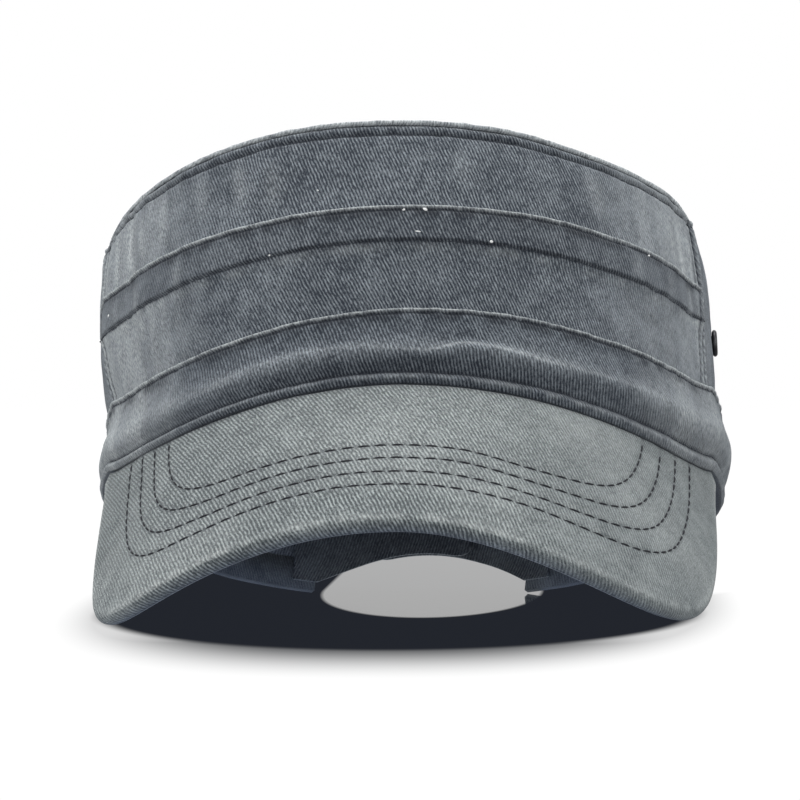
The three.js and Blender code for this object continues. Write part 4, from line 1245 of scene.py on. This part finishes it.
for name, degrees in (("eyelet_left", -104), ("eyelet_right", 87)):
    angle = np.array([math.radians(degrees)])
    height = np.array([EYELET_HEIGHT])
    seat = Vector(wall(angle, height, np.zeros(1))[0])
    round_it = Vector(wall(angle + 0.02, height, np.zeros(1))[0]) - seat
    up_it = Vector(wall(angle, height + 1, np.zeros(1))[0]) - seat
    outward = round_it.cross(up_it).normalized()
    turn_to = outward.to_track_quat("Z", "Y").to_matrix().to_4x4()
    bpy.ops.object.select_all(action="DESELECT")
    bpy.ops.mesh.primitive_torus_add(
        major_segments=72, minor_segments=20, major_radius=FLANGE_RADIUS, minor_radius=FLANGE_ROUND
    )
    ring = bpy.context.object
    bpy.ops.object.mode_set(mode="EDIT")
    bpy.ops.mesh.select_all(action="SELECT")
    bpy.ops.transform.resize(value=(1.0, 1.0, FLANGE_FLATTENED))
    bpy.ops.transform.translate(value=(0.0, 0.0, OUT_OF_CLOTH))
    bpy.ops.object.mode_set(mode="OBJECT")
    bpy.ops.object.select_all(action="DESELECT")
    bpy.ops.mesh.primitive_cylinder_add(
        vertices=72, radius=BARREL_RADIUS, depth=BARREL_LENGTH, end_fill_type="NOTHING"
    )
    barrel = bpy.context.object
    bpy.ops.object.mode_set(mode="EDIT")
    bpy.ops.mesh.select_all(action="SELECT")
    bpy.ops.transform.translate(value=(0.0, 0.0, -OUT_OF_CLOTH))
    bpy.ops.mesh.select_all(action="DESELECT")
    bpy.ops.object.mode_set(mode="OBJECT")
    for edge in barrel.data.edges:
        ends = [barrel.data.vertices[index].co.z for index in edge.vertices]
        edge.select = max(ends) < -BARREL_LENGTH / 2
    bpy.ops.object.mode_set(mode="EDIT")
    bpy.ops.mesh.extrude_region_move(
        MESH_OT_extrude_region={}, TRANSFORM_OT_translate={"value": (0, 0, 0)}
    )
    bpy.ops.transform.resize(value=(WASHER_SPREAD, WASHER_SPREAD, 1.0))
    bpy.ops.object.mode_set(mode="OBJECT")
    metal = barrel.modifiers.new("wall", "SOLIDIFY")
    metal.thickness = BARREL_METAL
    bpy.ops.object.modifier_apply(modifier="wall")
    ring.select_set(True)
    bpy.context.view_layer.objects.active = ring
    bpy.ops.object.join()
    ring.name = name + "_ring"
    ring.data.transform(Matrix.Translation(seat) @ turn_to)
    ring.data.shade_smooth()
    ring.data.materials.clear()
    ring.data.materials.append(gunmetal)
    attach(ring, "root")
    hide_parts(name)

# TABLE, LIGHT AND CAMERA
# A table with a painted shadow under the cap: a dark patch, glossy only in a rounded strip that
# mirrors the cap's hollow, and glowing towards the cap. The painted shadow fades all round into a
# pure white ground. One wide soft light stands overhead, one on each side and a weak one in front,
# low enough to reach in under the peak. The camera is level with the band.
bpy.ops.object.select_all(action="DESELECT")
bpy.ops.mesh.primitive_plane_add(size=12.0, location=(0.0, 0.0, 0.0))
table = bpy.context.object
table.name = "table"
table.data.transform(Matrix.Translation((0.0, 4.0, 0.0)))
table_top, tree, surface = new_finish(
    "table with painted shadow",
    Base_Color=(0.012, 0.014, 0.019, 1.0),
    Roughness=0.05,
    Specular_IOR_Level=0.5,
    Emission_Color=(0.92, 0.95, 1.0, 1.0),
)


def from_middle(place, middle, half):
    """A place on the table counted from a middle, in shares of half sizes"""
    moved = node(tree, "VectorMath", operation="SUBTRACT", _0=place, _1=(*middle, 0.0)).outputs[0]
    scaled = node(tree, "VectorMath", operation="DIVIDE", _0=moved, _1=(*half, 1.0)).outputs[0]
    return node(tree, "SeparateXYZ", Vector=scaled).outputs


# The painted shadow's dark oval round the cap, in metres: its middle, half sizes, squareness and fade
# outwards
OVAL_MIDDLE = (-0.0027, 0.15)
OVAL_HALF = (0.0719, 0.3192)
OVAL_POWER = 2.46
OVAL_FADE = (1.0, 1.453)
place = node(tree, "TexCoord").outputs["Object"]
apart = from_middle(place, OVAL_MIDDLE, OVAL_HALF)
powers = [calc(tree, "POWER", calc(tree, "ABSOLUTE", apart[axis]), OVAL_POWER) for axis in ("X", "Y")]
reach = calc(tree, "POWER", calc(tree, "ADD", *powers), 1 / OVAL_POWER)
fade = ramp(tree, reach, *OVAL_FADE, kind="SMOOTHSTEP")
# The painted shadow ends in a clear curve under the peak, between its tips. Beside the cap it gets
# wider backwards, and behind it it narrows and closes. It is paler towards its sides and its back
SHADE_HALF = (0.0857, 0.196)
SHADE_SHIFT = 0.003
SHADE_WIDENS = 0.045
SHADE_NARROWS = (0.235, 0.30, 0.0, -0.055)
SHADE_CLOSES = (0.28, 0.48, 0.0, 1.1)
SHADE_EDGE = (0.94, 1.1)
PALE_BESIDE = (0.03, 0.078, 0.0, 0.7)
PALE_BEHIND = (0.0, 0.12)
spot = node(tree, "SeparateXYZ", Vector=place).outputs
aside = calc(tree, "ABSOLUTE", calc(tree, "ADD", spot["X"], SHADE_SHIFT))
back = calc(tree, "MAXIMUM", spot["Y"], 0.0)
half = calc(tree, "MULTIPLY_ADD", back, SHADE_WIDENS, SHADE_HALF[0])
half = calc(tree, "ADD", half, ramp(tree, back, *SHADE_NARROWS, kind="SMOOTHSTEP"))
share = calc(tree, "DIVIDE", aside, half)
front = calc(tree, "DIVIDE", calc(tree, "MINIMUM", spot["Y"], 0.0), SHADE_HALF[1])
far = calc(tree, "POWER", ramp(tree, back, *SHADE_CLOSES), 4.0)
ends = calc(tree, "ADD", calc(tree, "MULTIPLY", front, front), far)
edge = ramp(tree, calc(tree, "MULTIPLY_ADD", share, share, ends), *SHADE_EDGE, kind="SMOOTHSTEP")
pale = calc(tree, "MAXIMUM", fade, ramp(tree, aside, *PALE_BESIDE, kind="SMOOTHSTEP"))
pale = calc(tree, "MAXIMUM", pale, ramp(tree, back, *PALE_BEHIND, kind="SMOOTHSTEP"))
white = calc(tree, "MULTIPLY", pale, edge)
# Only a rounded strip in the middle mirrors the daylight from the opening behind
MIRROR_MIDDLE = (0.0035, 0.12)
MIRROR_HALF = (0.0345, 0.165)
MIRROR_EDGE = (0.98, 1.06)
apart = from_middle(place, MIRROR_MIDDLE, MIRROR_HALF)
nearer = calc(tree, "MINIMUM", apart["Y"], 0.0)
nearer = calc(tree, "MULTIPLY", nearer, nearer)
dull = ramp(tree, calc(tree, "MULTIPLY_ADD", apart["X"], apart["X"], nearer), *MIRROR_EDGE)
# The table lights the hollow above it from below, more than it shows itself: the strength of its
# light on the cap and then to the eye, for the dull dark, the mirror and the white ground
DULL_LIGHT = (18.0, 1.0)
MIRROR_LIGHT = (0.4, 0.0)
GROUND_LIGHT = (0.3, 1.02)
seen = node(tree, "LightPath").outputs["Is Camera Ray"]
tree.links.new(ramp(tree, seen, 0.0, 1.0, *MIRROR_LIGHT), surface.inputs["Emission Strength"])
dim = ramp(tree, seen, 0.0, 1.0, *DULL_LIGHT)
# The dull dark part is a painted shadow: near black to the eye, and glowing towards the cap
painted_shadow = node(tree, "Emission", Strength=dim, Color=(0.0165, 0.0190, 0.0255, 1.0)).outputs[0]
dark = node(tree, "MixShader", _0=dull, _1=surface.outputs[0], _2=painted_shadow).outputs[0]
glow = ramp(tree, seen, 0.0, 1.0, *GROUND_LIGHT)
ground = node(tree, "Emission", Strength=glow, Color=(1.0, 1.0, 1.0, 1.0)).outputs[0]
blend = node(tree, "MixShader", _0=white, _1=dark, _2=ground).outputs[0]
tree.links.new(blend, tree.nodes["Material Output"].inputs["Surface"])
table.data.materials.append(table_top)

# Strength of the white surroundings: as soft light, and in a gloss
SOFT_SKY = 0.22
GLOSSY_SKY = 0.54
world = bpy.data.worlds.new("white ground")
world.use_nodes = True
tree = world.node_tree
path = node(tree, "LightPath").outputs
soft = ramp(tree, path["Is Glossy Ray"], 0.0, 1.0, SOFT_SKY, GLOSSY_SKY)
power = calc(tree, "MAXIMUM", path["Is Camera Ray"], soft)
tree.links.new(power, tree.nodes["Background"].inputs["Strength"])
tree.nodes["Background"].inputs["Color"].default_value = (1.0, 1.0, 1.0, 1.0)
bpy.context.scene.world = world


def soft_light(name, place, aim, size, watts):
    lamp = bpy.data.lights.new(name, "AREA")
    lamp.shape = "RECTANGLE"
    lamp.size, lamp.size_y = size
    lamp.energy = watts
    holder = bpy.data.objects.new(name, lamp)
    holder.location = place
    holder.rotation_euler = (Vector(aim) - Vector(place)).to_track_quat("-Z", "Y").to_euler()
    bpy.context.collection.objects.link(holder)


soft_light("overhead", (0.0, 0.05, 1.1), (0.0, -0.02, 0.05), (1.3, 0.8), 13.0)
soft_light("left", (-1.3, -0.35, 0.5), (0.0, 0.0, 0.07), (0.8, 0.9), 10.0)
soft_light("right", (1.3, -0.3, 0.5), (0.0, 0.0, 0.07), (0.8, 0.9), 8.0)
soft_light("front", (0.0, -1.6, 0.12), (0.0, 0.0, 0.06), (1.0, 0.3), 7.0)

# Focal length and shift in pixels of a picture 800 wide, and the camera's distance in metres
PICTURE = 800
FOCAL_PIXELS = 4342.0
SHIFT_PIXELS = (-13.0, -14.5)
SENSOR = 36.0
CAMERA_TURN = math.radians(1.6)
STAND_OFF = 1.295
CAMERA_DROP = 0.2
lens = bpy.data.cameras.new("front camera")
lens.sensor_width = SENSOR
lens.lens = FOCAL_PIXELS / PICTURE * SENSOR
lens.shift_x = SHIFT_PIXELS[0] / PICTURE
lens.shift_y = SHIFT_PIXELS[1] / PICTURE
lens.clip_end = 50.0
camera = bpy.data.objects.new("front camera", lens)
camera.location = (
    REST_PLACE[0] / 1000 + STAND_OFF * math.sin(CAMERA_TURN),
    (REST_PLACE[1] + HALF_LENGTH) / 1000 - STAND_OFF * math.cos(CAMERA_TURN),
    (REST_PLACE[2] - CAMERA_DROP) / 1000,
)
camera.rotation_euler = (math.pi / 2, 0.0, CAMERA_TURN)
bpy.context.collection.objects.link(camera)
bpy.context.scene.camera = camera
bpy.context.scene.view_settings.view_transform = "Standard"
